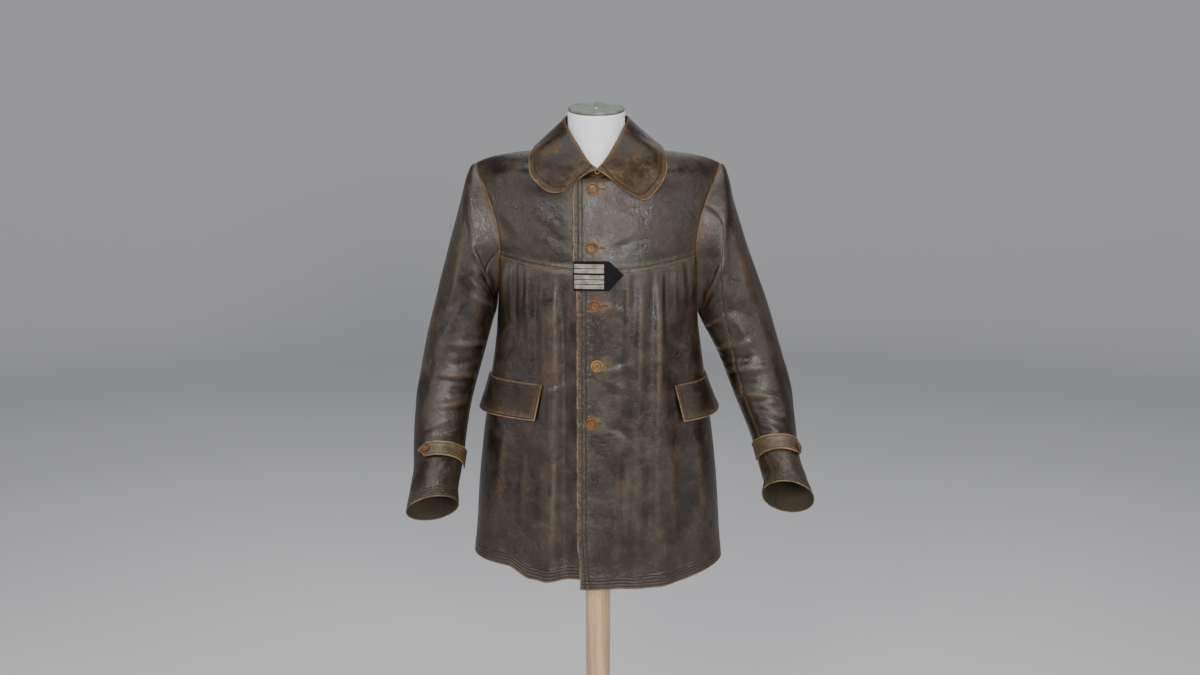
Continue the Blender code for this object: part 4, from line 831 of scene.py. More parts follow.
def body_piece(name, face, surface, us, vs, free, seams, bottom_edge, finish):
    """One panel of the body, with its creases, drawn-in seams, raised laps and rubbed places."""
    share, row = np.meshgrid(us, vs, indexing="ij")
    point, normal = surface(share, row)
    crease = small_creases(face, point, row)
    if row[0, 0] < ARMPIT_ROW:
        point = relaxed(point, row)
    first, last, low, high = distances(point)
    sewn = [{"first": first, "last": last, "high": high}[side] for side in seams]
    lift = crease + sum(sewn_dip(distance) for distance in sewn)
    if bottom_edge == "lapped":
        lift += second_layer(low, *YOKE_LAP)
    if bottom_edge == "hem":
        lift += second_layer(low, *TURNED_HEM) - sewn_grooves(low, HEM_ROWS)
    edge = np.full(point.shape[:2], 1.0)
    if free == "first":
        edge = np.minimum(edge, first)
        lift += second_layer(first, *TURNED_FRONT)
    wear = 0.12 * smooth(0.0004, 0.0020, crease) + 0.05 * smooth(0.0015, 0.005, fold_of(face, point, row))
    # Seams are rubbed more towards the shoulders, and the left front round its buttonholes
    near_shoulder = 0.15 + 0.45 * smooth(YOKE_ROW, YOKE_ROW + 2.5, row)
    for distance, amount in [(edge, 0.80), (low, 0.70)] + [(distance, near_shoulder) for distance in sewn]:
        wear = np.maximum(wear, edge_wear(distance, amount, 0.0017, 0.16, 0.010))
    if face == "left":
        for x, z in BUTTON_PLACES:
            near = ((point[..., 0] - x - 0.006) / 0.020) ** 2 + ((point[..., 2] - z) / 0.012) ** 2
            wear = np.maximum(wear, 0.50 * np.exp(-near))
    point = point + normal * lift[..., None]
    piece = close_cloth(name, point, finish, edge, wear, hem=low)
    return piece, point, normal


def fold_of(face, point, row):
    return fold_height(face, point.reshape(-1, 3), row.ravel()).reshape(row.shape)


# Heights of the second layers, and where they start and are full, in from the edge
YOKE_LAP, TURNED_HEM, TURNED_FRONT = (0.0011, 0.012, 0.006), (0.0007, 0.027, 0.022), (0.0007, 0.0200, 0.0175)
# Places of the mesh's columns and rows beside an edge, and half a seam's gap in rows
CLOSE = (0.0012, 0.0026, 0.0045, 0.0075, 0.011)
HEM_CLOSE = tuple(0.0015 * step for step in range(1, 19))
HALF_SEAM = 0.0026
LOWER_ROWS = spaced(0.58, 0.0044, HEM_CLOSE, CLOSE) * (YOKE_ROW - HALF_SEAM)
UPPER_ROWS = YOKE_ROW + HALF_SEAM + spaced(0.20, 0.0036, CLOSE, CLOSE) * (TOP - YOKE_ROW - HALF_SEAM)
FRONT_WIDTH, BACK_WIDTH, BACK_YOKE_WIDTH = 0.29, 0.58, 0.46
body_pieces = {}
for side, free, side_seam, last_edge in (("left", "first", "last", CLOSE), ("right", None, "first", ())):
    panel, seams = partial(front_panel, side), (side_seam, "high")
    us = spaced(FRONT_WIDTH, 0.0044, CLOSE, last_edge)
    body_pieces[f"front_{side}"] = body_piece(
        f"{side}_front", side, panel, us, LOWER_ROWS, free, seams, "hem", BODY_HIDE)
    us = spaced(FRONT_WIDTH, 0.0034, CLOSE, last_edge)
    body_pieces[f"front_yoke_{side}"] = body_piece(
        f"{side}_front_yoke", side, panel, us, UPPER_ROWS, free, seams, "lapped", YOKE_HIDE)
seams = ("first", "last", "high")
us = spaced(BACK_WIDTH, 0.0046, CLOSE, CLOSE)
body_pieces["back"] = body_piece(
    "back_panel", "back", back_panel, us, LOWER_ROWS, None, seams, "hem", BODY_HIDE)
us = spaced(BACK_YOKE_WIDTH, 0.0038, CLOSE, CLOSE)
body_pieces["back_yoke"] = body_piece(
    "back_yoke_panel", "back", back_panel, us, UPPER_ROWS, None, seams, "lapped", YOKE_HIDE)
for node_name, (piece, _, _) in body_pieces.items():
    ride(piece, "leather", node_name)


# Sleeves
# Two-piece sleeves of the same hide: a wide top sleeve and a narrower under sleeve, sewn into the
# armholes and bent at the elbow, with four sewn rows round each cuff.
SLEEVE_EASE = 0.003
# The armhole's row where the front seam starts, how far round the sleeve the columns turn with it,
# and the degrees that it turns inwards at each row
SEAM_START, SEAM_SPREAD = {"right": 8.2, "left": 9.6}, math.radians(88)
SEAM_TURN = {
    "right": (0, 15, 32, 44, 52, 58, 62, 65, 66, 67, 67, 67, 67, 67),
    "left": (0, 9, 27, 42, 49, 55, 63, 71, 76, 80, 80, 80, 80, 80),
}
SEAM_ANGLE = 0.0085
DEGREE, SLEEVE_STEP = 0.00096, 0.050    # metres for a degree round a sleeve, and for a row down it
SIDE = {"right": -1.0, "left": 1.0}

# From the armhole to the cuff: outer and inner edge seen from the front, depth of the middle, and
# half the depth of the section
SLEEVES = {
    "right": np.array((
        (-0.2280, 1.404, -0.1820, 1.161, 0.000, 0.060), (-0.2415, 1.386, -0.1895, 1.153, 0.001, 0.066),
        (-0.2561, 1.335, -0.1900, 1.143, 0.002, 0.070), (-0.2760, 1.265, -0.1920, 1.129, 0.002, 0.070),
        (-0.2930, 1.202, -0.1975, 1.113, 0.001, 0.067), (-0.3090, 1.140, -0.2050, 1.086, -0.001, 0.063),
        (-0.3235, 1.083, -0.2155, 1.048, -0.004, 0.060), (-0.3350, 1.022, -0.2300, 0.996, -0.012, 0.057),
        (-0.3430, 0.970, -0.2400, 0.955, -0.025, 0.055), (-0.3460, 0.913, -0.2470, 0.908, -0.046, 0.053),
        (-0.3450, 0.868, -0.2505, 0.872, -0.070, 0.050), (-0.3420, 0.838, -0.2535, 0.850, -0.094, 0.047),
        (-0.3455, 0.802, -0.2580, 0.822, -0.122, 0.046), (-0.3490, 0.770, -0.2560, 0.796, -0.146, 0.048),
    )),
    "left": np.array((
        (0.2280, 1.404, 0.1850, 1.128, 0.000, 0.060), (0.2400, 1.386, 0.1900, 1.122, 0.001, 0.067),
        (0.2535, 1.335, 0.1945, 1.112, 0.002, 0.071), (0.2765, 1.263, 0.2010, 1.098, 0.002, 0.070),
        (0.2965, 1.208, 0.2105, 1.082, 0.001, 0.067), (0.3185, 1.148, 0.2200, 1.064, -0.001, 0.063),
        (0.3380, 1.085, 0.2330, 1.036, -0.004, 0.060), (0.3540, 1.028, 0.2480, 0.998, -0.012, 0.057),
        (0.3660, 0.973, 0.2640, 0.957, -0.025, 0.055), (0.3715, 0.922, 0.2820, 0.915, -0.046, 0.053),
        (0.3735, 0.878, 0.2935, 0.882, -0.070, 0.050), (0.3765, 0.848, 0.3000, 0.856, -0.094, 0.047),
        (0.3835, 0.818, 0.3065, 0.836, -0.122, 0.046), (0.3920, 0.790, 0.3020, 0.820, -0.146, 0.048),
    )),
}
SLEEVE_ROWS = 13

# Creases, as above, in degrees round the sleeve (0 outside, 90 front, 180 inside) and rows
SLEEVE_CREASES = {
    "right": (
        Crease(150, 0.5, 62, 2.4, 0.009, 0.003, 0.006), Crease(168, 1.1, 80, 3.2, 0.0075, -0.0026, 0.006),
        Crease(172, 2.1, 92, 3.9, 0.008, 0.0026, 0.005), Crease(36, 1.2, 66, 4.8, 0.011, 0.0026, 0.004),
        Crease(104, 3.0, 52, 6.0, 0.010, -0.0026, -0.006), Crease(15, 3.6, 34, 6.4, 0.011, 0.002, 0.004),
        Crease(172, 5.2, 74, 6.1, 0.007, 0.0028, 0.005), Crease(176, 5.9, 84, 6.7, 0.0062, -0.0028, 0.004),
        Crease(174, 6.6, 58, 7.2, 0.0075, 0.0034, 0.005), Crease(178, 7.3, 90, 7.8, 0.006, -0.0026, 0.003),
        Crease(166, 7.9, 66, 8.5, 0.0075, 0.0028, 0.004), Crease(120, 8.8, 44, 9.5, 0.0065, -0.002, 0.003),
        Crease(44, 6.3, 8, 8.3, 0.009, 0.0024, 0.004), Crease(150, 9.0, 96, 9.6, 0.006, 0.0018, 0.002),
        Crease(204, 5.5, 292, 6.7, 0.008, 0.0028, -0.005), Crease(192, 6.7, 284, 7.5, 0.0075, -0.0026, -0.004),
        Crease(196, 7.8, 276, 8.4, 0.007, 0.0026, -0.004), Crease(212, 0.8, 300, 2.8, 0.009, 0.0028, -0.005),
        Crease(200, 2.2, 292, 4.0, 0.0085, -0.0024, -0.005), Crease(334, 2.0, 304, 5.2, 0.011, 0.0022, 0.004),
        Crease(62, 11.2, 30, 12.3, 0.0055, 0.0014, 0.002), Crease(118, 11.0, 92, 12.0, 0.0055, -0.0014, 0.002),
    ),
    "left": (
        Crease(146, 0.6, 70, 2.6, 0.009, 0.003, 0.006), Crease(166, 1.3, 88, 3.4, 0.008, -0.0028, 0.005),
        Crease(172, 2.4, 98, 4.2, 0.0075, 0.0028, 0.006), Crease(40, 1.4, 74, 5.2, 0.011, 0.0026, -0.004),
        Crease(110, 3.4, 64, 6.3, 0.010, -0.0026, -0.006), Crease(20, 3.0, 30, 6.0, 0.011, -0.002, 0.004),
        Crease(170, 5.0, 70, 5.9, 0.0075, 0.0028, 0.005), Crease(176, 5.7, 82, 6.4, 0.0062, -0.003, 0.004),
        Crease(175, 6.4, 52, 7.0, 0.0078, 0.0034, 0.005), Crease(176, 7.1, 84, 7.5, 0.006, -0.0028, 0.003),
        Crease(168, 7.6, 60, 8.2, 0.0075, 0.003, 0.004), Crease(128, 8.5, 50, 9.2, 0.0065, -0.0022, 0.003),
        Crease(30, 6.5, 6, 8.6, 0.0095, 0.0024, -0.004), Crease(140, 9.1, 84, 9.7, 0.006, 0.0018, 0.002),
        Crease(206, 5.3, 290, 6.5, 0.008, 0.0028, -0.005), Crease(190, 6.5, 282, 7.3, 0.0075, -0.0026, -0.004),
        Crease(196, 7.6, 278, 8.1, 0.007, 0.0026, -0.004), Crease(214, 1.0, 302, 3.0, 0.009, 0.0028, -0.005),
        Crease(202, 2.4, 290, 4.2, 0.0085, -0.0024, -0.005), Crease(332, 2.2, 306, 5.4, 0.011, 0.0022, 0.004),
        Crease(70, 11.3, 36, 12.2, 0.0055, 0.0014, 0.002), Crease(126, 11.1, 98, 12.0, 0.0055, -0.0014, 0.002),
    ),
}


def armhole_table(side):
    """Rows of the armhole's edge against the sleeve's angle, on the front half."""
    rows = np.linspace(ARMPIT_ROW, TOP, 1201)
    top, bottom = SLEEVES[side][0][1], SLEEVES[side][0][3]
    heights = body_points("front", SIDE[side], rows)[:, 2]
    angles = np.arccos(np.clip((2 * heights - top - bottom) / (top - bottom), -1, 1))
    return angles[::-1], rows[::-1]


ARMHOLES = {side: armhole_table(side) for side in SLEEVES}


def seam_angle(side, armhole_row):
    return float(np.interp(armhole_row, ARMHOLES[side][1][::-1], ARMHOLES[side][0][::-1]))


def unit(vectors):
    return vectors / np.maximum(np.linalg.norm(vectors, axis=-1), 1e-9)[..., None]


def ring_middles(side):
    outer_x, outer_z, inner_x, inner_z, middle_y, _ = SLEEVES[side].T
    return np.stack([(outer_x + inner_x) / 2, middle_y, (outer_z + inner_z) / 2], axis=1)


def sleeve_points(side, angle, row):
    """Points of a sleeve: its head starts on the armhole's edge and is all sleeve from row 1."""
    angle, row = np.broadcast_arrays(np.asarray(angle, float), np.asarray(row, float))
    row = np.clip(row, 0, SLEEVE_ROWS)
    outer_x, outer_z, inner_x, inner_z, _, half_depth = SLEEVES[side].T
    middles = ring_middles(side)
    spans = np.stack([(outer_x - inner_x) / 2, 0 * outer_x, (outer_z - inner_z) / 2], axis=1)
    middle, out, depth = curve(middles, row), curve(spans, row), curve(half_depth, row)
    forward = unit(np.cross(curve(middles, row + 0.05) - curve(middles, row - 0.05), out))
    forward = np.where(forward[..., 1:2] > 0, -forward, forward)
    tube = middle + out * np.cos(angle)[..., None] + forward * (depth * np.sin(angle))[..., None]
    turn = angle % (2 * math.pi)
    on_front = turn <= math.pi
    edge_row = np.interp(np.where(on_front, turn, 2 * math.pi - turn), *ARMHOLES[side])
    front_edge, back_edge = (body_points(face, SIDE[side], edge_row) for face in ("front", "back"))
    edge = np.where(on_front[..., None], front_edge, back_edge)
    under = smooth(1.2, 0.0, np.abs(turn - math.pi))
    edge = edge + np.stack([SIDE[side] * SEAM * (1 + under), 0 * under, -SEAM * under], axis=-1)
    near = np.clip(row, 0, 1)[..., None]
    head = edge + (tube - edge) * near
    head[..., 0] += SIDE[side] * SLEEVE_EASE * np.sin(math.pi * near[..., 0])
    return np.where((row < 1)[..., None], head, tube)


def drifted(side, angle, row):
    """Turns the columns with the front seam, which moves to the inside down the sleeve."""
    off = (angle - seam_angle(side, SEAM_START[side]) + math.pi) % (2 * math.pi) - math.pi
    return angle + np.radians(curve(SEAM_TURN[side], row)) * np.exp(-(off / SEAM_SPREAD) ** 2)


def outer_normals(points, centre):
    """Normals of a shaped grid, turned away from a centre line."""
    normal = unit(np.cross(np.gradient(points, axis=0), np.gradient(points, axis=1)))
    return normal if np.sum(normal * (points - centre)) > 0 else -normal


def sleeve_creases(side, angle, row):
    """The creases' height, worked out on the sleeve laid flat."""
    table = []
    for crease in SLEEVE_CREASES[side]:
        start = (crease.a0 * DEGREE, crease.b0 * SLEEVE_STEP)
        end = (crease.a1 * DEGREE, crease.b1 * SLEEVE_STEP)
        table.append(Crease(*start, *end, crease.width, crease.height, crease.bow))
    degrees = np.degrees(angle % (2 * math.pi))
    return creases(table, degrees * DEGREE, row * SLEEVE_STEP)


def sleeve(side, angle, row):
    """Points and normals of a sleeve's outer face on a grid, creases included."""
    points = sleeve_points(side, angle, row)
    normal = outer_normals(points, curve(ring_middles(side), row))
    return points + normal * sleeve_creases(side, angle, row)[..., None], normal


def facing_out(points, normal):
    """The grid with its columns in the order that turns its faces outwards."""
    middle = tuple(n // 2 for n in points.shape[:2])
    faces = np.cross(np.gradient(points, axis=0), np.gradient(points, axis=1))
    return slice(None) if np.dot(faces[middle], normal[middle]) > 0 else slice(None, None, -1)


CUFF_ROWS = (0.0035, 0.0055, 4)
TURNED_CUFF = (0.0007, 0.026, 0.021)
SLEEVE_HIDE = hide("sleeve_hide", DARK, (0.032, 0.0205, 0.0120), RUBBED, hem_rows=CUFF_ROWS)
SLEEVE_SHARES = spaced(0.68, 0.0046, CLOSE, HEM_CLOSE)
sleeve_pieces = {}
for side in SLEEVES:
    seam, back_seam = seam_angle(side, SEAM_START[side]), seam_angle(side, YOKE_ROW)
    for part, first, last, arc in (
        ("sleeve_under", seam + SEAM_ANGLE / 2, 2 * math.pi - back_seam - SEAM_ANGLE / 2, 0.20),
        ("sleeve_top", -back_seam + SEAM_ANGLE / 2, seam - SEAM_ANGLE / 2, 0.22),
    ):
        angles = first + (last - first) * spaced(arc, 0.0044, CLOSE, CLOSE)
        angle, row = np.meshgrid(angles, SLEEVE_SHARES * SLEEVE_ROWS, indexing="ij")
        angle = drifted(side, angle, row)
        point, normal = sleeve(side, angle, row)
        near, far, head, cuff = distances(point)
        crease = sleeve_creases(side, angle, row)
        lift = sewn_dip(near) + sewn_dip(far) + sewn_dip(head)
        lift += second_layer(cuff, *TURNED_CUFF) - sewn_grooves(cuff, CUFF_ROWS)
        wear = 0.15 * smooth(0.0004, 0.0030, crease)
        rubbed_edges = ((cuff, 0.70, 0.020), (head, 0.40, 0.012), (near, 0.12, 0.006), (far, 0.12, 0.006))
        for distance, amount, reach in rubbed_edges:
            wear = np.maximum(wear, edge_wear(distance, amount, 0.0020, 0.14, reach))
        point = point + normal * lift[..., None]
        order, edge = facing_out(point, normal), np.full(wear.shape, 1.0)
        piece = close_cloth(f"{side}_{part}", point[order], SLEEVE_HIDE, edge, wear[order], hem=cuff[order])
        sleeve_pieces[f"{part}_{side}"] = (piece, point, normal, cuff)
        ride(piece, "leather", f"{part}_{side}")


# Collar
# A round-ended turn-down collar of a paler, mottled hide: one sheet that stands up from the neck
# seam, rolls over the fold and lies on the yokes, with a turned and rubbed edge all round.
COLLAR_CLEARANCE, COLLAR_ROLL = 0.0062, 0.0075
FRONT, BACK, ON_TOP = "front", "back", "on top"

# From the front end to the centre back: the fold, then the edge's place across and its height, or
# its depth where it lies on top of the shoulder
Leaf = namedtuple("Leaf", "fold_x fold_y fold_z edge_x edge_place face")
LEAF_RIGHT = (
    Leaf(-0.0015, -0.0990, 1.3980, -0.040, 1.3725, FRONT),
    Leaf(-0.008, -0.0975, 1.4020, -0.062, 1.3600, FRONT),
    Leaf(-0.016, -0.0930, 1.4100, -0.084, 1.3580, FRONT),
    Leaf(-0.026, -0.0840, 1.4230, -0.104, 1.3720, FRONT),
    Leaf(-0.037, -0.0700, 1.4400, -0.118, 1.3880, FRONT),
    Leaf(-0.0510, -0.0510, 1.4600, -0.122, 1.4080, FRONT),
    Leaf(-0.0600, -0.0250, 1.4760, -0.118, -0.022, ON_TOP),
    Leaf(-0.0630, 0.0050, 1.4860, -0.114, 0.024, ON_TOP),
    Leaf(-0.0575, 0.0360, 1.4900, -0.102, 1.4080, BACK),
    Leaf(-0.0330, 0.0570, 1.4900, -0.070, 1.3920, BACK),
    Leaf(0.0, 0.0640, 1.4900, 0.0, 1.3860, BACK),
)
LEAF_LEFT = (
    Leaf(-0.0014, -0.1000, 1.3960, 0.032, 1.3705, FRONT),
    Leaf(0.003, -0.0985, 1.4010, 0.058, 1.3530, FRONT),
    Leaf(0.010, -0.0940, 1.4090, 0.084, 1.3430, FRONT),
    Leaf(0.020, -0.0850, 1.4220, 0.106, 1.3640, FRONT),
    Leaf(0.031, -0.0710, 1.4390, 0.119, 1.3860, FRONT),
    Leaf(0.0440, -0.0520, 1.4600, 0.123, 1.4080, FRONT),
    Leaf(0.0530, -0.0260, 1.4770, 0.119, -0.022, ON_TOP),
    Leaf(0.0575, 0.0050, 1.4870, 0.115, 0.024, ON_TOP),
    Leaf(0.0530, 0.0360, 1.4900, 0.103, 1.4080, BACK),
    Leaf(0.0310, 0.0570, 1.4900, 0.070, 1.3920, BACK),
)
LEAVES = LEAF_RIGHT + tuple(reversed(LEAF_LEFT))
LAST_STATION = len(LEAVES) - 1


def leaf_edge(leaf):
    """The outer edge's point, just above the yoke."""
    face, axis, low, high = leaf.face, 2, 0.0, float(TOP)
    if face == ON_TOP:
        face, axis, low = FRONT if leaf.edge_place < 0 else BACK, 1, TOP - 1.5
    for _ in range(30):
        row = (low + high) / 2
        reached = body_points(face, leaf.edge_x / half_width(row), row)[axis]
        past = reached > leaf.edge_place if axis == 2 else abs(reached) < abs(leaf.edge_place)
        low, high = (low, row) if past else (row, high)
    point, normal = body(face, leaf.edge_x / half_width(row), row)
    lap = lap_at(leaf.edge_x, row) if leaf.face == FRONT else 0.0
    return point + normal * (lap + COLLAR_CLEARANCE)


FOLD_LINE = np.array([(leaf.fold_x, leaf.fold_y, leaf.fold_z) for leaf in LEAVES])
EDGE_LINE = np.array([leaf_edge(leaf) for leaf in LEAVES])


def collar_fall(station, down):
    """A line of the fall, from its fold (0) to its outer edge (1), rolled out more at the front."""
    fold, edge = curve(FOLD_LINE, station), curve(EDGE_LINE, station)
    out = unit(np.stack([edge[:, 0] * 0.6, edge[:, 1] + 0.01, 0 * edge[:, 0]], axis=1)) + (0, 0, 0.55)
    frontal = smooth(0.3, 0.7, -edge[:, 1] / np.hypot(edge[:, 0], edge[:, 1]))
    span = np.minimum(np.linalg.norm(edge - fold, axis=1) / 0.06, 1.3)
    roll = COLLAR_ROLL * (0.15 + 0.85 * frontal) * span * math.sin(math.pi * down ** 1.15)
    return fold + (edge - fold) * down + unit(out) * roll[:, None]


def neck_seam(station):
    """The collar's lower edge, on the neckline of the body."""
    half = LAST_STATION / 2
    share = np.abs(station - half) / half
    angle = math.pi * (1 - share)
    depth = np.abs(np.cos(angle))
    in_front = share > 0.5
    y = NECK_POINT_Y + (np.where(in_front, NECK_FRONT_Y, NECK_BACK_Y) - NECK_POINT_Y) * depth
    height = np.where(in_front, NECK_FRONT_HEIGHT, NECK_BACK_HEIGHT)
    z = NECK_POINT_HEIGHT + (height - NECK_POINT_HEIGHT) * depth
    return np.stack([NECK_HALF * np.sin(angle) * np.sign(station - half), y, z + 0.002], axis=1)


COLLAR_CLOSE = (0.0012, 0.0026, 0.0045)
station = spaced(0.62, 0.0030, COLLAR_CLOSE, COLLAR_CLOSE) * LAST_STATION
seam_line = neck_seam(station)
fold_line = curve(FOLD_LINE, station)
inward = unit(np.stack([-0.003 - fold_line[:, 0], -0.012 - fold_line[:, 1], 0 * station], axis=1))
stand_top = fold_line + inward * 0.0036 + (0, 0, -0.0050)
apex = fold_line + inward * 0.0012 + (0, 0, 0.0010)
guides = [seam_line, (seam_line + stand_top) / 2, stand_top, apex]
guides += [collar_fall(station, down) for down in (0.05, 0.18, 0.34, 0.50, 0.66, 0.83, 1.0)]
guides = np.array(guides)
# Places up the stand (to guide 2), round the fold (to 5) and down the fall (to 10)
fall_places = 5 + spaced(5, 0.16, (), (0.07, 0.15, 0.3))[1:] * 5
places = np.concatenate([np.linspace(0, 2, 9), np.linspace(2, 5, 22)[1:], fall_places])
flat_guides = guides.reshape(len(guides), -1)
collar_points = curve(flat_guides, places).reshape(len(places), -1, 3).swapaxes(0, 1)
collar_normal = unit(np.cross(np.gradient(collar_points, axis=0), np.gradient(collar_points, axis=1)))
if np.sum(collar_normal[:, -1] * (collar_points[:, -1] - (0, 0, 1.30))) < 0:
    collar_normal = -collar_normal
ends, far_ends, _, outer = distances(collar_points)
turned_edge = np.minimum(np.minimum(ends, far_ends) + 0.2 * (places < 3.0)[None], outer)
u, v = np.meshgrid(station, places, indexing="ij")
ripple = creases((
    Crease(2.2, 5.0, 3.0, 9.4, 0.50, 0.0012, 0.2), Crease(4.6, 4.6, 4.2, 9.6, 0.55, -0.0012, 0.2),
    Crease(16.4, 5.0, 15.8, 9.4, 0.50, 0.0012, -0.2), Crease(17.6, 4.4, 18.0, 9.0, 0.45, -0.0010, 0.2),
    Crease(8.5, 4.6, 8.0, 9.2, 0.50, 0.0012, 0.2), Crease(11.6, 4.6, 12.2, 9.2, 0.50, 0.0012, 0.2),
), u, v)
lift = ripple + second_layer(turned_edge, 0.0006, 0.0105, 0.0085)
worn_fold = 0.28 * np.exp(-((v - 3.4) / 0.5) ** 2)
wear = np.maximum(edge_wear(turned_edge, 0.60, 0.0020, 0.20, 0.010), worn_fold)
collar_points = collar_points + collar_normal * lift[..., None]
COLLAR_HIDE = hide("collar_hide", (0.0075, 0.0046, 0.0020), (0.052, 0.028, 0.0080), (0.24, 0.145, 0.052),
                   scuffs=1.5, edge_rows=(0.0110, 0.004, 1), shine=0.25)
order = facing_out(collar_points, collar_normal)
collar = close_cloth("collar", collar_points[order], COLLAR_HIDE, turned_edge[order], wear[order],
                     thickness=0.0022, inner=COLLAR_HIDE)
ride(collar, "collar_leather", "collar_fall", "collar_stand")


# Hip flaps
# Two plain flaps of doubled hide, sewn along their top edge below the waist and round to the side
# seams, where they flare out a little. Their three free edges are turned and rubbed pale.
DOUBLE_LEATHER, FLAP_SEAT, FLAP_DEPTH, FLAP_LENGTH = 0.0030, 0.0009, 0.068, 0.158
Flap = namedtuple("Flap", "front_top front_bottom z_front z_side flare_front flare_side")
FLAPS = {
    "right": Flap(0.100, 0.115, 1.006, 1.010, 0.003, 0.010),
    "left": Flap(0.142, 0.158, 1.000, 1.012, 0.005, 0.019),
}


def round_side(side, angle, row):
    """The body's outer face at an angle from the centre front (0) past the side (1) to the back."""
    angle, row = np.broadcast_arrays(np.asarray(angle, float), np.asarray(row, float))
    before = body("front", SIDE[side] * across_at(np.minimum(angle, 1)), row)
    behind = body("back", SIDE[side] * across_at(np.minimum(2 - angle, 1)), row)
    on_front = (angle <= 1)[..., None]
    return tuple(np.where(on_front, a, b) for a, b in zip(before, behind))


FLAP_ROWS = (0.0024, 0.005, 1)
FLAP_HIDE = hide("flap_hide", DARK, (0.021, 0.0135, 0.0080), RUBBED, edge_rows=FLAP_ROWS, shine=0.35)
flap_pieces = {}
for side, flap in FLAPS.items():
    along, down = np.meshgrid(
        spaced(FLAP_LENGTH, 0.0026, CLOSE, CLOSE), spaced(FLAP_DEPTH, 0.0026, (), CLOSE), indexing="ij")
    hinge_row = float(np.interp(flap.z_side, Z_SIDE, np.arange(TOP)))
    walk = np.linspace(float(angle_at(flap.front_top, hinge_row)), 1.9, 800)
    path = round_side(side, walk, hinge_row)[0]
    run = np.concatenate([[0], np.cumsum(np.linalg.norm(np.diff(path, axis=0), axis=1))])
    end = float(np.interp(FLAP_LENGTH, run, walk))
    z = flap.z_front + (flap.z_side - flap.z_front) * along - FLAP_DEPTH * down
    row = np.interp(z, Z_SIDE, np.arange(TOP))
    start = angle_at(flap.front_top + (flap.front_bottom - flap.front_top) * down, row)
    point, normal = round_side(side, start + (end - start) * along, row)
    flare = (flap.flare_front + (flap.flare_side - flap.flare_front) * along ** 0.7) * down ** 1.2
    wave = 0.0012 * np.sin(along * 7.0 + (1.0 if side == "left" else 0.0)) * down ** 1.5
    near, far, top, bottom = distances(point)
    turned_edge = np.minimum(np.minimum(near, far), bottom)
    lift = FLAP_SEAT + DOUBLE_LEATHER + flare + wave + second_layer(turned_edge, 0.0004, 0.0070, 0.0050)
    lift += sewn_dip(top, 0.0009, 0.0030)
    wear = np.maximum(edge_wear(turned_edge, 0.95, 0.0026, 0.30, 0.012), 0.45 * np.exp(-(top / 0.003) ** 2))
    point = point + normal * lift[..., None]
    order = facing_out(point, normal)
    piece = close_cloth(f"{side}_hip_flap", point[order], FLAP_HIDE, turned_edge[order], wear[order],
                        hem=top[order], thickness=0.0026, inner=FLAP_HIDE)
    flap_pieces[side] = (piece, point, normal, near, far, top, bottom)
    ride(piece, "leather", f"flap_{side}")


# Cuff tabs
# A pointed strap of doubled hide round each cuff, sewn at the inside of the sleeve and buttoned
# near its point on the outside. The left one is turned further round, as it is worn.
TAB_SEAT, TAB_POINT, TAB_COLUMNS, TAB_CLOSE = 0.0017, 0.86, 44, (0.0010, 0.0022, 0.0040)
CuffTab = namedtuple("CuffTab", "inner_angle tip_angle row_top row_bottom button_angle")
CUFF_TABS = {"right": CuffTab(195, 52, 10.0, 10.95, 66), "left": CuffTab(180, 20, 9.9, 10.85, 38)}
TAB_HIDE = hide("tab_hide", (0.022, 0.0145, 0.0080), (0.064, 0.046, 0.024), RUBBED, scuffs=0.9,
                edge_rows=(0.0030, 0.005, 1))
tab_pieces = {}
for side, tab in CUFF_TABS.items():
    columns = np.concatenate([np.linspace(0, TAB_POINT, TAB_COLUMNS), np.linspace(TAB_POINT, 1, 12)[1:]])
    u, v = np.meshgrid(columns, spaced(0.036, 0.0026, TAB_CLOSE, TAB_CLOSE), indexing="ij")
    middle_row, half = (tab.row_top + tab.row_bottom) / 2, (tab.row_bottom - tab.row_top) / 2
    half = half * (1 - np.maximum((u - TAB_POINT) / (1 - TAB_POINT), 0) * 0.96)
    angle = np.radians(tab.inner_angle + (tab.tip_angle - tab.inner_angle) * u)
    row = middle_row + half * (2 * v - 1)
    point = sleeve_points(side, angle, row)
    centre = sleeve_points(side, np.radians([0, 180]), middle_row).mean(axis=0)
    normal = outer_normals(point, centre)
    near, far, upper, lower = distances(point)
    turned_edge = np.minimum(np.minimum(upper, lower), far)
    lift = TAB_SEAT + DOUBLE_LEATHER + second_layer(turned_edge, 0.0005, 0.0065, 0.0045)
    wear = edge_wear(turned_edge, 0.95, 0.0024, 0.40, 0.009)
    point = point + normal * lift[..., None]
    order = facing_out(point, normal)
    piece = close_cloth(f"{side}_cuff_tab", point[order], TAB_HIDE, turned_edge[order], wear[order],
                        thickness=0.0026, inner=TAB_HIDE)
    tab_pieces[side] = (piece, point, normal, upper, lower)
    ride(piece, "leather", f"cuff_tab_{side}")


# Turned edges and seams
# The hide's edges are turned or cut clean and show as thin pale rolls: round the collar, flaps and
# tabs, down the left front, along the yoke, hem and cuffs, and in the armholes. The rolls of the
# sleeves' long seams have the sleeve's own colour.
def make_edge_hide():
    made, tree, shader = new_finish("turned_edge")
    place = own_place(tree)
    patches = remap(tree, noise(tree, place, 45.0, 6.0, 0.65), 0.36, 0.62)
    colour = blend(tree, patches, (0.045, 0.026, 0.011, 1), (0.230, 0.150, 0.070, 1))
    grain = bump(tree, noise(tree, place, 260.0, 5.0), 0.5, 0.0005)
    feed(tree, shader, {"Base Color": colour, "Roughness": 0.5, "Normal": grain})
    return made


EDGE_HIDE = make_edge_hide()
HEM_ROLL, SEAM_ROLL, SLEEVE_ROLL, FOLDED_ROLL = 0.0010, 0.0006, 0.0010, 0.0012


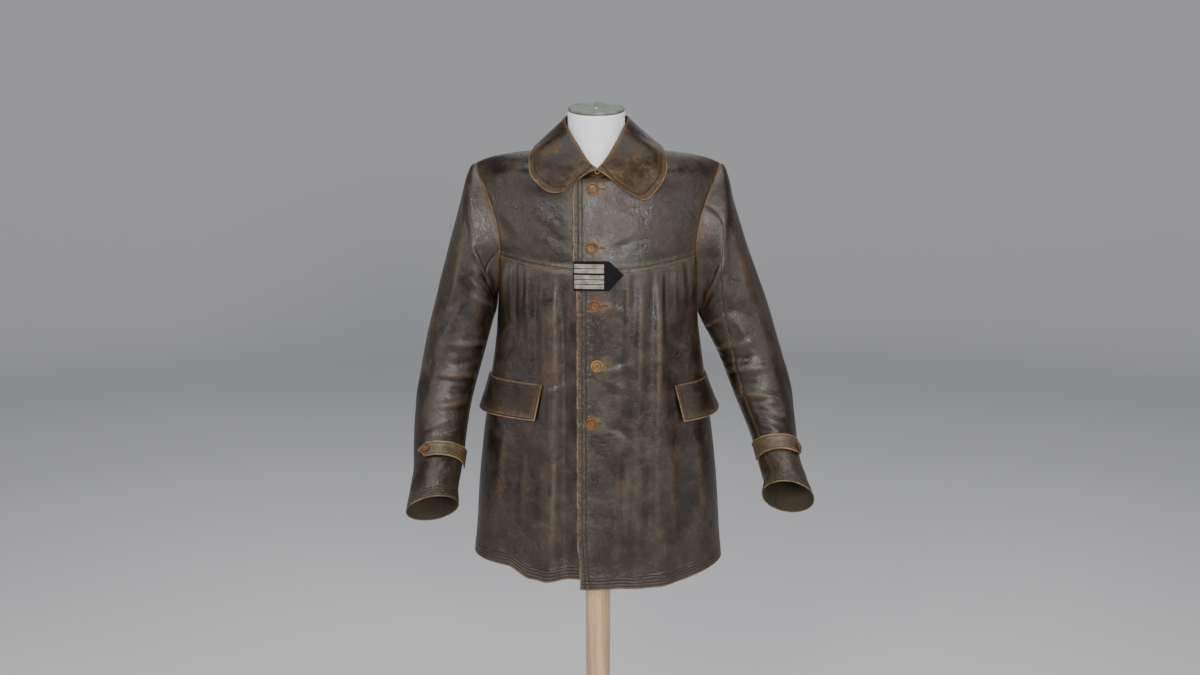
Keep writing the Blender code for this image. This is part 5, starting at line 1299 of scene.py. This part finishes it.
def sunk(points, normals, depth):
    return points - normals * depth, normals


def edge_roll(grid, edge, radius, depth):
    """A roll along one edge of a piece, sunk into it."""
    points, normals = inset_path(*grid, edge, 0.0004)
    return bead(*sunk(points, normals, depth), radius)


def outline_roll(points, normals, radius, depth, from_column=0):
    """A roll down the first column, along the last row and up the last column of a grid."""
    path = []
    for grid in (points, normals):
        way_back = grid[-1, from_column:-1][::-1]
        path.append(np.concatenate([grid[0, from_column:], grid[1:, -1], way_back]))
    return bead(*sunk(*path, depth), radius)


body_grids = {name: grids[1:] for name, grids in body_pieces.items()}
sleeve_grids = {name: grids[1:3] for name, grids in sleeve_pieces.items()}
for name in ("front_left", "front_right", "back"):
    rolls = [edge_roll(body_grids[name], "low", HEM_ROLL, LEATHER / 2)]
    if name == "front_left":
        rolls.append(edge_roll(body_grids[name], "first", FOLDED_ROLL, 0.0007))
    joined_paths(f"{name}_turned_edge", rolls, EDGE_HIDE, "leather")
for name in ("front_yoke_left", "front_yoke_right", "back_yoke"):
    rolls = [edge_roll(body_grids[name], "low", SEAM_ROLL, 0.0007)]
    if name == "front_yoke_left":
        rolls += [edge_roll(body_grids[name], "first", FOLDED_ROLL, 0.0007),
                  edge_roll(body_grids[name], "high", SEAM_ROLL, 0.0006)]
    joined_paths(f"{name}_turned_edge", rolls, EDGE_HIDE, "leather")
for side, sign in SIDE.items():
    rolls = []
    for face in ("front", "back"):
        rows = np.linspace(YOKE_ROW + 0.05, TOP - 0.02, 60)
        point, normal = body(face, sign * 0.9985, rows)
        rolls.append(bead(*sunk(point, normal, 0.0005), SEAM_ROLL))
    for part in ("sleeve_under", "sleeve_top"):
        rolls.append(edge_roll(sleeve_grids[f"{part}_{side}"], "high", HEM_ROLL, LEATHER / 2))
    under = sleeve_grids[f"sleeve_under_{side}"]
    joined_paths(f"{side}_sleeve_edges", rolls, EDGE_HIDE, "leather")
    rolls = [edge_roll(under, edge, SLEEVE_ROLL, 0.0004) for edge in ("first", "last")]
    joined_paths(f"{side}_sleeve_seams", rolls, SLEEVE_HIDE, "leather")
    _, point, normal, *_ = flap_pieces[side]
    flap_roll = outline_roll(point, normal, FOLDED_ROLL, 0.0013)
    joined_paths(f"{side}_flap_edge", [flap_roll], EDGE_HIDE, "leather")
    _, point, normal, *_ = tab_pieces[side]
    long_way = [np.concatenate([grid[:, 0], grid[-1, 1:], grid[-2::-1, -1]]) for grid in (point, normal)]
    joined_paths(f"{side}_cuff_tab_edge", [bead(*sunk(*long_way, 0.0013), 0.0014)], EDGE_HIDE, "leather")

# The collar's piping runs round from one end of the fold to the other, with a small curl of it at
# the left leaf's inner end
APEX = int(np.argmin(np.abs(places - 3.2)))
piping = outline_roll(collar_points, collar_normal, FOLDED_ROLL, 0.0011, APEX)
curl_centre = collar_points[-1, APEX] + np.array((0.0005, -0.0040, -0.0050))
turn = np.linspace(0.1, 5.6, 26)
curl = curl_centre + np.stack([0.0036 * np.sin(turn), -0.0012 * turn / 5.6, 0.0036 * np.cos(turn)], axis=1)
curl_up = unit(np.stack([0 * turn, -np.ones_like(turn), 0 * turn], axis=1))
joined_paths("collar_piping", [piping, bead(curl, curl_up, 0.0012)], EDGE_HIDE, "collar_leather")


# Rank tab
# A pointed tab of black wool cloth across the front edge, with five flat braids of silvery thread
# sewn on in a group of two and a group of three. Each braid has fine ribs along it.
RANK_LEFT, RANK_SHOULDER_X, RANK_TIP_X = -0.0435, 0.020, 0.046
RANK_TOP, RANK_BOTTOM, RANK_TIP_HEIGHT = 1.2335, 1.1805, 1.2085
RANK_THICKNESS, RANK_SEAT = 0.0022, 0.0014
BRAID_LEFT, BRAID_LENGTH, BRAID_TOP, BRAID_PITCH, BRAID_GAP = -0.0420, 0.0530, 1.2287, 0.0086, 0.0022
BRAID_HEIGHT, BRAID_THICKNESS, BRAID_TILT = 0.0074, 0.0009, -0.0008


def make_wool():
    made, tree, shader = new_finish("black_wool")
    place = own_place(tree)
    nap = noise(tree, place, 900.0, 4.0, 0.7)
    colour = blend(tree, noise(tree, place, 160.0, 4.0), (0.004, 0.004, 0.0045, 1), (0.013, 0.013, 0.014, 1))
    feed(tree, shader, {"Base Color": colour, "Roughness": 0.95, "Normal": bump(tree, nap, 0.5, 0.0004),
                        "Specular IOR Level": 0.15})
    return made


def make_braid():
    made, tree, shader = new_finish("silver_braid")
    cloth = tree.nodes.new("ShaderNodeUVMap").outputs["UV"]
    slant = node(tree, "ShaderNodeMapping", {"Vector": cloth, "Rotation": (0, 0, 0.9)})
    twill = node(tree, "ShaderNodeTexWave", {"Vector": slant.outputs[0], "Scale": 260.0, "Distortion": 1.5})
    dirt = noise(tree, own_place(tree), 90.0, 5.0, 0.6)
    colour = blend(tree, remap(tree, dirt, 0.35, 0.65), (0.17, 0.155, 0.125, 1), (0.37, 0.355, 0.31, 1))
    colour = blend(tree, maths(tree, "MULTIPLY", twill.outputs["Fac"], 0.35), colour, (0.16, 0.145, 0.12, 1))
    feed(tree, shader, {"Base Color": colour, "Roughness": 0.5, "Metallic": 0.25,
                        "Normal": bump(tree, twill.outputs["Fac"], 0.6, 0.0003)})
    return made


BLACK_WOOL, SILVER_BRAID = make_wool(), make_braid()
u, v = np.meshgrid(spaced(0.09, 0.0014, (), ()), np.linspace(0, 1, 34), indexing="ij")
x = RANK_LEFT + (RANK_TIP_X - RANK_LEFT) * u
in_point = np.maximum((x - RANK_SHOULDER_X) / (RANK_TIP_X - RANK_SHOULDER_X), 0) * 0.985
low = RANK_BOTTOM + (RANK_TIP_HEIGHT - RANK_BOTTOM) * in_point
high = RANK_TOP + (RANK_TIP_HEIGHT - RANK_TOP) * in_point
point, normal = front_at(x, low + (high - low) * v)
around = np.minimum.reduce(distances(point))
point = point + normal * (RANK_SEAT + RANK_THICKNESS - 0.0007 * np.exp(-(around / 0.0009) ** 2))[..., None]
rank_tab = close_cloth("rank_tab_cloth", point, BLACK_WOOL, around, 0 * around, thickness=RANK_THICKNESS,
                       inner=BLACK_WOOL)
ride(rank_tab, "tab_cloth", "rank_tab")
for index in range(5):
    u, v = np.meshgrid(np.linspace(0, 1, 44), np.linspace(0, 1, 25), indexing="ij")
    top = BRAID_TOP - BRAID_PITCH * index - (BRAID_GAP if index > 1 else 0)
    point, normal = front_at(BRAID_LEFT + BRAID_LENGTH * u, top - BRAID_HEIGHT * (1 - v) + BRAID_TILT * u)
    ribs = 0.00045 * np.abs(np.sin(3 * math.pi * v)) - 0.0007 * smooth(0.985, 1.0, np.maximum(u, 1 - u))
    point = point + normal * (RANK_SEAT + RANK_THICKNESS + BRAID_THICKNESS - 0.0002 + ribs)[..., None]
    braid = close_cloth(f"braid_{index + 1}", point, SILVER_BRAID, 0 * u + 1, 0 * u,
                        thickness=BRAID_THICKNESS, inner=SILVER_BRAID)
    ride(braid, "braid", f"rank_stripe_{index + 1}")


# Buttons and buttonholes
# Sewn buttons of polished horn with a raised rim, a dished middle and four holes: five down the
# front, the fourth one yellower, and a smaller one on each cuff tab. Each front one stands at the
# end of a whipped buttonhole in the left front.
BUTTON_RADIUS, BUTTON_THICKNESS, BUTTON_SEAT = 0.0115, 0.0034, 0.0006
CUFF_BUTTON_RADIUS, CUFF_BUTTON_THICKNESS, CUFF_BUTTON_SEAT, CUFF_BUTTON_SPIN = 0.0078, 0.00272, 0.00045, 0.6
BUTTONHOLE_START, BUTTONHOLE_LENGTH, WHIP_REACH, YELLOW_BUTTON = 0.003, 0.021, 0.0024, 3


def make_horn(name, dark, pale):
    made, tree, shader = new_finish(name)
    streak = {"Vector": own_place(tree), "Scale": (60, 60, 180), "Rotation": (0.2, 0.5, 0.4)}
    grain = noise(tree, node(tree, "ShaderNodeMapping", streak).outputs[0], 1.0, 6.0, 0.6)
    grain = remap(tree, grain, 0.34, 0.66)
    # Painted shade darkens the groove inside the rim, the middle and the edge low down
    profile = tree.nodes.new("ShaderNodeUVMap").outputs["UV"]
    turned = node(tree, "ShaderNodeSeparateXYZ", {0: profile}).outputs["Y"]
    unshaded = maths(tree, "ABSOLUTE", maths(tree, "SUBTRACT", turned, 0.76))
    unshaded = maths(tree, "MULTIPLY", remap(tree, unshaded, 0.04, 0.11), remap(tree, turned, 0.24, 0.44))
    unshaded = maths(tree, "MULTIPLY", unshaded, remap(tree, turned, 0.93, 0.98, 1.0, 0.35))
    colour = blend(tree, maths(tree, "MULTIPLY", grain, 0.75), (*pale, 1), (*dark, 1))
    colour = blend(tree, remap(tree, unshaded, 0.0, 1.0, 0.95, 0.0), colour, (0.010, 0.005, 0.002, 1))
    feed(tree, shader, {"Base Color": colour, "Roughness": remap(tree, grain, 0.0, 1.0, 0.38, 0.52),
                        "Specular IOR Level": 0.35})
    return made


AMBER_HORN = make_horn("amber_horn", (0.070, 0.028, 0.008), (0.185, 0.080, 0.021))
YELLOW_HORN = make_horn("yellow_horn", (0.140, 0.074, 0.015), (0.290, 0.165, 0.036))


def turned_piece(name, profile, sides, finish):
    """A round solid from its profile of (radius, height), from the middle of its underside up."""
    angle = np.linspace(0, 2 * math.pi, sides + 1)
    profile = np.array(profile)
    ring = np.stack([np.outer(np.cos(angle), profile[:, 0]), np.outer(np.sin(angle), profile[:, 0]),
                     np.outer(np.ones(sides + 1), profile[:, 1])], axis=2)
    piece, _, _ = grid_piece(name, ring)
    merge_corners(0.00002)
    piece.data.materials.append(finish)
    bpy.ops.object.shade_smooth_by_angle(angle=math.radians(40))
    return piece


def cut_away(piece, tool):
    """Cuts a tool's shape out of a piece and takes the tool away."""
    cut = piece.modifiers.new("cut", "BOOLEAN")
    cut.object = tool
    cut.solver = "EXACT"
    bpy.context.view_layer.objects.active = piece
    bpy.ops.object.modifier_apply(modifier=cut.name)
    bpy.data.objects.remove(tool, do_unlink=True)


def make_button(radius, thickness):
    shape = ((0.0, 0.0), (0.70, 0.0), (0.90, 0.16), (0.98, 0.38), (1.0, 0.60), (0.97, 0.82), (0.91, 0.96),
             (0.84, 1.0), (0.76, 0.95), (0.70, 0.80), (0.66, 0.66), (0.60, 0.60), (0.30, 0.56), (0.0, 0.55))
    button = turned_piece("button_pattern", [(radius * r, thickness * h) for r, h in shape], 48, AMBER_HORN)
    for turn in range(4):
        angle = math.pi / 4 + turn * math.pi / 2
        place = (0.23 * radius * math.cos(angle), 0.23 * radius * math.sin(angle), thickness / 2)
        bpy.ops.object.select_all(action="DESELECT")
        bpy.ops.mesh.primitive_cylinder_add(
            vertices=16, radius=0.085 * radius, depth=3 * thickness, location=place)
        cut_away(button, bpy.context.active_object)
    return button


def set_in_place(pattern, name, place, up, spin, finish):
    """A copy of a piece modelled at the origin, moved to its place with its top along up."""
    mesh = pattern.data.copy()
    turn = Vector((0, 0, 1)).rotation_difference(Vector(up)).to_matrix().to_4x4()
    mesh.transform(Matrix.Translation(Vector(place)) @ turn @ Matrix.Rotation(spin, 4, "Z"))
    mesh.name = name
    mesh.materials.clear()
    mesh.materials.append(finish)
    piece = bpy.data.objects.new(name, mesh)
    bpy.context.collection.objects.link(piece)
    return piece


def button_threads(place, up, radius, thickness, spin):
    """Two thread bars over the button's middle, one through each pair of holes."""
    turn = Vector((0, 0, 1)).rotation_difference(Vector(up)).to_matrix() @ Matrix.Rotation(spin, 3, "Z")
    bar = ((-0.163, 0.20), (-0.150, 0.60), (-0.06, 0.68), (0.06, 0.68), (0.150, 0.60), (0.163, 0.20))
    made = []
    for side in (-1, 1):
        local = [Vector((x * radius, side * 0.163 * radius, thickness * height)) for x, height in bar]
        path = np.array([Vector(place) + turn @ corner for corner in local])
        across = np.array(turn @ Vector((0, 1, 0)))
        made.append(bead(path, np.tile(across, (len(path), 1)), 0.00045, 6))
    return made


front_button = make_button(BUTTON_RADIUS, BUTTON_THICKNESS)
cuff_button = make_button(CUFF_BUTTON_RADIUS, CUFF_BUTTON_THICKNESS)
thread_bars, whips, slit_shades = [], [], []
for index, (x, z) in enumerate(BUTTON_PLACES):
    point, normal = (grid[()] for grid in front_at(x, z))
    spin = 0.35 + 1.1 * index
    seat = point + normal * BUTTON_SEAT
    horn = YELLOW_HORN if index == YELLOW_BUTTON else AMBER_HORN
    button = set_in_place(front_button, f"front_button_{index + 1}", seat, normal, spin, horn)
    ride(button, "horn", f"button_front_{index + 1}")
    thread_bars += button_threads(seat, normal, BUTTON_RADIUS, BUTTON_THICKNESS, spin)
    # The slit runs out from under the button and ends in whipping that fans round its end
    half = BUTTONHOLE_LENGTH / 2
    middle_x = x + BUTTONHOLE_START + half
    turn = np.linspace(0, 2 * math.pi, 57)[:-1]
    run = np.abs(np.cos(turn)) ** 0.55 * np.sign(np.cos(turn))
    inner = front_at(middle_x + (half - 0.001) * run, z + 0.0006 * np.sin(turn))
    outer = front_at(middle_x + (half + 0.0010) * run, z + WHIP_REACH * np.sin(turn))
    vertices, faces = [], []
    for near, far, up in zip(inner[0], outer[0], outer[1]):
        first = len(vertices)
        vertices += thread_bar(near + up * 0.0003, far, up, 0.00042)
        faces += [tuple(first + k for k in face) for face in STITCH_FACES]
    whips.append((vertices, faces))
    # A near-black sheet in each slit is painted shade where the slit opens
    hole = list(inner[0] + inner[1] * 0.00015)
    slit_shades.append((hole, [tuple(range(len(hole)))]))
for side, tab in CUFF_TABS.items():
    _, point, normal, *_ = tab_pieces[side]
    share = (tab.button_angle - tab.inner_angle) / (tab.tip_angle - tab.inner_angle)
    column = int(np.argmin(np.abs(np.linspace(0, TAB_POINT, TAB_COLUMNS) - share)))
    row = point.shape[1] // 2
    up = normal[column, row]
    seat = point[column, row] + up * CUFF_BUTTON_SEAT
    button = set_in_place(cuff_button, f"{side}_cuff_button", seat, up, CUFF_BUTTON_SPIN, AMBER_HORN)
    ride(button, "horn", f"button_cuff_{side}")
    thread_bars += button_threads(seat, up, CUFF_BUTTON_RADIUS, CUFF_BUTTON_THICKNESS, CUFF_BUTTON_SPIN)
for pattern in (front_button, cuff_button):
    bpy.data.objects.remove(pattern, do_unlink=True)
joined_paths("button_threads", thread_bars, WAXED_THREAD, "leather")
joined_paths("buttonhole_whipping", whips, EDGE_HIDE, "leather")
slit_shadow, tree, shader = new_finish("slit_shadow")
feed(tree, shader, {"Base Color": (0.006, 0.004, 0.003, 1), "Roughness": 0.9})
joined_paths("buttonhole_slit_shades", slit_shades, slit_shadow, "leather")


# Topstitching
# Rows of waxed thread: two down the left front's edge, four round the hem and each cuff, one over
# the yoke seam, one inside the edges of the collar, flaps and tabs, and two along the flaps' tops.
TAB_SEWN, FLAP_SEWN, FLAP_TOP_SEWN, COLLAR_SEWN = 0.0042, 0.0055, (0.0022, 0.0085), 0.0110


def sewn_rows(grid, edge, rows):
    first, pitch, count = rows
    return [inset_path(*grid, edge, first + row * pitch) for row in range(count)]


rows_sewn = []
for name in ("front_left", "front_yoke_left"):
    rows_sewn += sewn_rows(body_grids[name], "first", FRONT_ROWS)
for name in ("front_left", "front_right", "back"):
    rows_sewn += sewn_rows(body_grids[name], "low", HEM_ROWS)
for name in ("front_yoke_left", "front_yoke_right", "back_yoke"):
    rows_sewn.append(inset_path(*body_grids[name], "low", YOKE_ROWS[0]))
joined_paths("body_stitching", [stitches(rows_sewn)], WAXED_THREAD, "leather")
for side in SIDE:
    rows_sewn = []
    for part in ("sleeve_under", "sleeve_top"):
        rows_sewn += sewn_rows(sleeve_grids[f"{part}_{side}"], "high", CUFF_ROWS)
    _, point, normal, *_ = tab_pieces[side]
    rows_sewn += [inset_path(point, normal, edge, TAB_SEWN) for edge in ("low", "high")]
    _, point, normal, *_ = flap_pieces[side]
    rows_sewn += [inset_path(point, normal, edge, FLAP_SEWN) for edge in ("first", "last", "high")]
    rows_sewn += [inset_path(point, normal, "low", distance) for distance in FLAP_TOP_SEWN]
    joined_paths(f"{side}_side_stitching", [stitches(rows_sewn)], WAXED_THREAD, "leather")
rows_sewn = [inset_path(collar_points, collar_normal, "high", COLLAR_SEWN)]
for edge in ("first", "last"):
    row = inset_path(collar_points, collar_normal, edge, COLLAR_SEWN)
    rows_sewn.append(tuple(grid[APEX + 6:] for grid in row))
joined_paths("collar_stitching", [stitches(rows_sewn)], WAXED_THREAD, "collar_leather")


# Dress form
# A padded torso without limbs, covered in white cotton jersey that is drawn smooth over the neck
# and under a painted cap. The torso stays hidden inside the jacket.
NECK_CENTRE = np.array((-0.003, -0.014, 1.5000))
NECK_RIM, NECK_TILT, CAP_THICKNESS = 0.0520, math.radians(11), 0.006
# How far the cover's foot lies inside the neckline of the jacket, and below it
COVER_IN_FRONT, COVER_IN_BACK, COVER_IN_SIDE, COVER_SINK = 0.014, 0.008, 0.006, 0.010


def make_jersey():
    made, tree, shader = new_finish("white_jersey")
    place = own_place(tree)
    values = {"Vector": place, "Scale": 420.0, "Distortion": 2.0}
    ribs = node(tree, "ShaderNodeTexWave", values, bands_direction="X").outputs["Fac"]
    loops = noise(tree, place, 1400.0, 3.0)
    tint = blend(tree, noise(tree, place, 28.0, 4.0), (0.84, 0.83, 0.84, 1), (0.92, 0.91, 0.92, 1))
    height = maths(tree, "ADD", maths(tree, "MULTIPLY", ribs, 0.6), maths(tree, "MULTIPLY", loops, 0.5))
    feed(tree, shader, {"Base Color": tint, "Roughness": 0.88, "Sheen Weight": 0.2,
                        "Normal": bump(tree, height, 0.35, 0.0003)})
    return made


JERSEY = make_jersey()
bpy.ops.object.select_all(action="DESELECT")
solid = bpy.data.objects["form_torso"]
torso = bpy.data.objects.new("torso_padding", solid.data.copy())
bpy.context.collection.objects.link(torso)
torso.select_set(True)
bpy.context.view_layer.objects.active = torso
bpy.ops.object.mode_set(mode="EDIT")
bpy.ops.mesh.select_all(action="SELECT")
bpy.ops.mesh.remove_doubles(threshold=0.0001)
bpy.ops.mesh.tris_convert_to_quads(face_threshold=0.7, shape_threshold=0.7)
bpy.ops.object.mode_set(mode="OBJECT")
torso.data.materials.clear()
torso.data.materials.append(JERSEY)
rounding = torso.modifiers.new("rounding", "SUBSURF")
rounding.levels = rounding.render_levels = 2
bpy.ops.object.modifier_apply(modifier=rounding.name)
bpy.ops.object.shade_smooth()
ride(torso, "jersey", "form_torso")

turn, rise = np.meshgrid(np.linspace(0, 2 * math.pi, 97), np.linspace(0, 1, 40), indexing="ij")
in_front, depth = np.cos(turn) > 0, np.abs(np.cos(turn))
middle_y = np.where(in_front, NECK_FRONT_Y + COVER_IN_FRONT, NECK_BACK_Y - COVER_IN_BACK)
middle_z = np.where(in_front, NECK_FRONT_HEIGHT, NECK_BACK_HEIGHT)
foot_y = NECK_POINT_Y + (middle_y - NECK_POINT_Y) * depth
foot_z = NECK_POINT_HEIGHT + (middle_z - NECK_POINT_HEIGHT) * depth - COVER_SINK
foot = np.stack([(NECK_HALF - COVER_IN_SIDE) * np.sin(turn), foot_y, foot_z], axis=2)
tilted = np.array(Matrix.Rotation(-NECK_TILT, 3, "X"))
rim_radius = NECK_RIM * (1.008 - 0.02 * smooth(0.985, 1.0, rise))
rim = np.stack([rim_radius * np.sin(turn), -rim_radius * np.cos(turn), 0 * turn], axis=2)
rim = NECK_CENTRE + rim @ tilted
gather = smooth(0.0, 0.70, rise)[..., None]
cover = foot + (rim - foot) * np.concatenate([gather, gather, rise[..., None]], axis=2)
drag = 0.0006 * np.sin(9 * turn + 2.5 * rise) * np.sin(math.pi * rise) * smooth(0.3, 1.0, np.sin(turn + 0.8))
cover[..., :2] *= (1 + drag / 0.05)[..., None]
neck_cover, _, _ = grid_piece("neck_cover", cover)
merge_corners(0.00005)
neck_cover.data.materials.append(JERSEY)
bpy.ops.object.shade_smooth()
ride(neck_cover, "jersey")


# Cap, pole and base
# The neck ends in a slightly hollow cap of grey-green painted wood with a brass screw in it. The
# pale pole goes up into the torso from a plain round base, both turned from varnished beech.
CAP_GAP, SCREW_RADIUS, SCREW_HEIGHT, SCREW_SLOT = 0.0003, 0.0034, 0.0016, (0.008, 0.0009, 0.0012)
POLE_RADIUS, POLE_TOP, POLE_GAP = 0.0240, 0.8317, 0.0003
BASE_RADIUS, BASE_THICKNESS, BASE_ROUND, BASE_CHAMFER, BASE_DISC = 0.175, 0.026, 0.008, 0.003, 0.06


def make_cap_paint():
    made, tree, shader = new_finish("cap_paint")
    place = own_place(tree)
    worn = remap(tree, noise(tree, place, 60.0, 6.0, 0.6), 0.40, 0.66)
    colour = blend(tree, worn, (0.105, 0.122, 0.096, 1), (0.205, 0.225, 0.190, 1))
    feed(tree, shader, {"Base Color": colour, "Roughness": remap(tree, worn, 0.0, 1.0, 0.45, 0.68),
                        "Normal": bump(tree, noise(tree, place, 240.0, 4.0), 0.3, 0.0004)})
    return made


def make_beech(name, along):
    """Varnished beech with its grain stretched along one axis."""
    made, tree, shader = new_finish(name)
    place = own_place(tree)
    grain_scale = [1.4 if axis == along else 26.0 for axis in "xyz"]
    grain_way = node(tree, "ShaderNodeMapping", {"Vector": place, "Scale": grain_scale}).outputs[0]
    bands = noise(tree, grain_way, 2.2, 6.0, 0.6)
    fleck_scale = [48.0 if axis == along else 156.0 for axis in "xyz"]
    fleck_way = node(tree, "ShaderNodeMapping", {"Vector": place, "Scale": fleck_scale}).outputs[0]
    flecks = remap(tree, noise(tree, fleck_way, 2.0, 3.0), 0.60, 0.72)
    colour = blend(tree, remap(tree, bands, 0.32, 0.68), (0.440, 0.265, 0.130, 1), (0.700, 0.480, 0.285, 1))
    colour = blend(tree, maths(tree, "MULTIPLY", flecks, 0.45), colour, (0.300, 0.160, 0.070, 1))
    feed(tree, shader, {"Base Color": colour, "Roughness": remap(tree, bands, 0.3, 0.7, 0.34, 0.50),
                        "Normal": bump(tree, bands, 0.15, 0.0006), "Coat Weight": 0.15})
    return made


def make_brass():
    made, tree, shader = new_finish("screw_brass")
    dull = remap(tree, noise(tree, own_place(tree), 500.0, 4.0), 0.3, 0.7, 0.28, 0.5)
    feed(tree, shader, {"Base Color": (0.62, 0.50, 0.28, 1), "Roughness": dull, "Metallic": 1.0})
    return made


axis = np.array((0, -math.sin(NECK_TILT), math.cos(NECK_TILT)))
cap_shape = ((0, 0), (0.960, 0), (0.990, 0.10), (1.0, 0.30), (1.0, 0.72), (0.985, 0.92), (0.955, 1.0),
             (0.915, 0.97), (0.88, 0.86), (0.70, 0.74), (0.40, 0.64), (0.12, 0.60), (0, 0.60))
CAP_PAINT = make_cap_paint()
cap = turned_piece("cap_pattern", [(NECK_RIM * r, CAP_THICKNESS * h) for r, h in cap_shape], 96, CAP_PAINT)
ride(set_in_place(cap, "neck_cap", NECK_CENTRE + axis * CAP_GAP, axis, 0, CAP_PAINT), "cap", "form_cap")
screw_shape = ((0, -0.4), (1.0, -0.4), (1.0, 0.35), (0.86, 0.72), (0.55, 0.95), (0, 1.0))
BRASS = make_brass()
screw_profile = [(SCREW_RADIUS * r, SCREW_HEIGHT * h) for r, h in screw_shape]
screw = turned_piece("screw_pattern", screw_profile, 24, BRASS)
bpy.ops.object.select_all(action="DESELECT")
bpy.ops.mesh.primitive_cube_add(size=1, location=(0, 0, SCREW_HEIGHT), scale=SCREW_SLOT)
cut_away(screw, bpy.context.active_object)
screw_place = NECK_CENTRE + axis * (CAP_GAP + CAP_THICKNESS * 0.62)
ride(set_in_place(screw, "cap_screw", screw_place, axis, 0.5, BRASS), "cap")
for pattern in (cap, screw):
    bpy.data.objects.remove(pattern, do_unlink=True)

pole_foot = BASE_THICKNESS + POLE_GAP
pole_shape = [(0, pole_foot), *((POLE_RADIUS, z) for z in (pole_foot, 0.2, 0.5, POLE_TOP)), (0, POLE_TOP)]
ride(turned_piece("pole_wood", pole_shape, 64, make_beech("pole_beech", "z")), "wood", "pole")
base_shape = [(0, 0), (BASE_RADIUS - BASE_CHAMFER, 0), (BASE_RADIUS, BASE_CHAMFER)]
for bend in np.linspace(0, math.pi / 2, 7):
    base_shape.append((BASE_RADIUS - BASE_ROUND * (1 - math.cos(bend)),
                       BASE_THICKNESS - BASE_ROUND * (1 - math.sin(bend))))
base_shape += [(BASE_DISC, BASE_THICKNESS), (0, BASE_THICKNESS)]
ride(turned_piece("base_wood", base_shape, 128, make_beech("base_beech", "x")), "wood", "base")
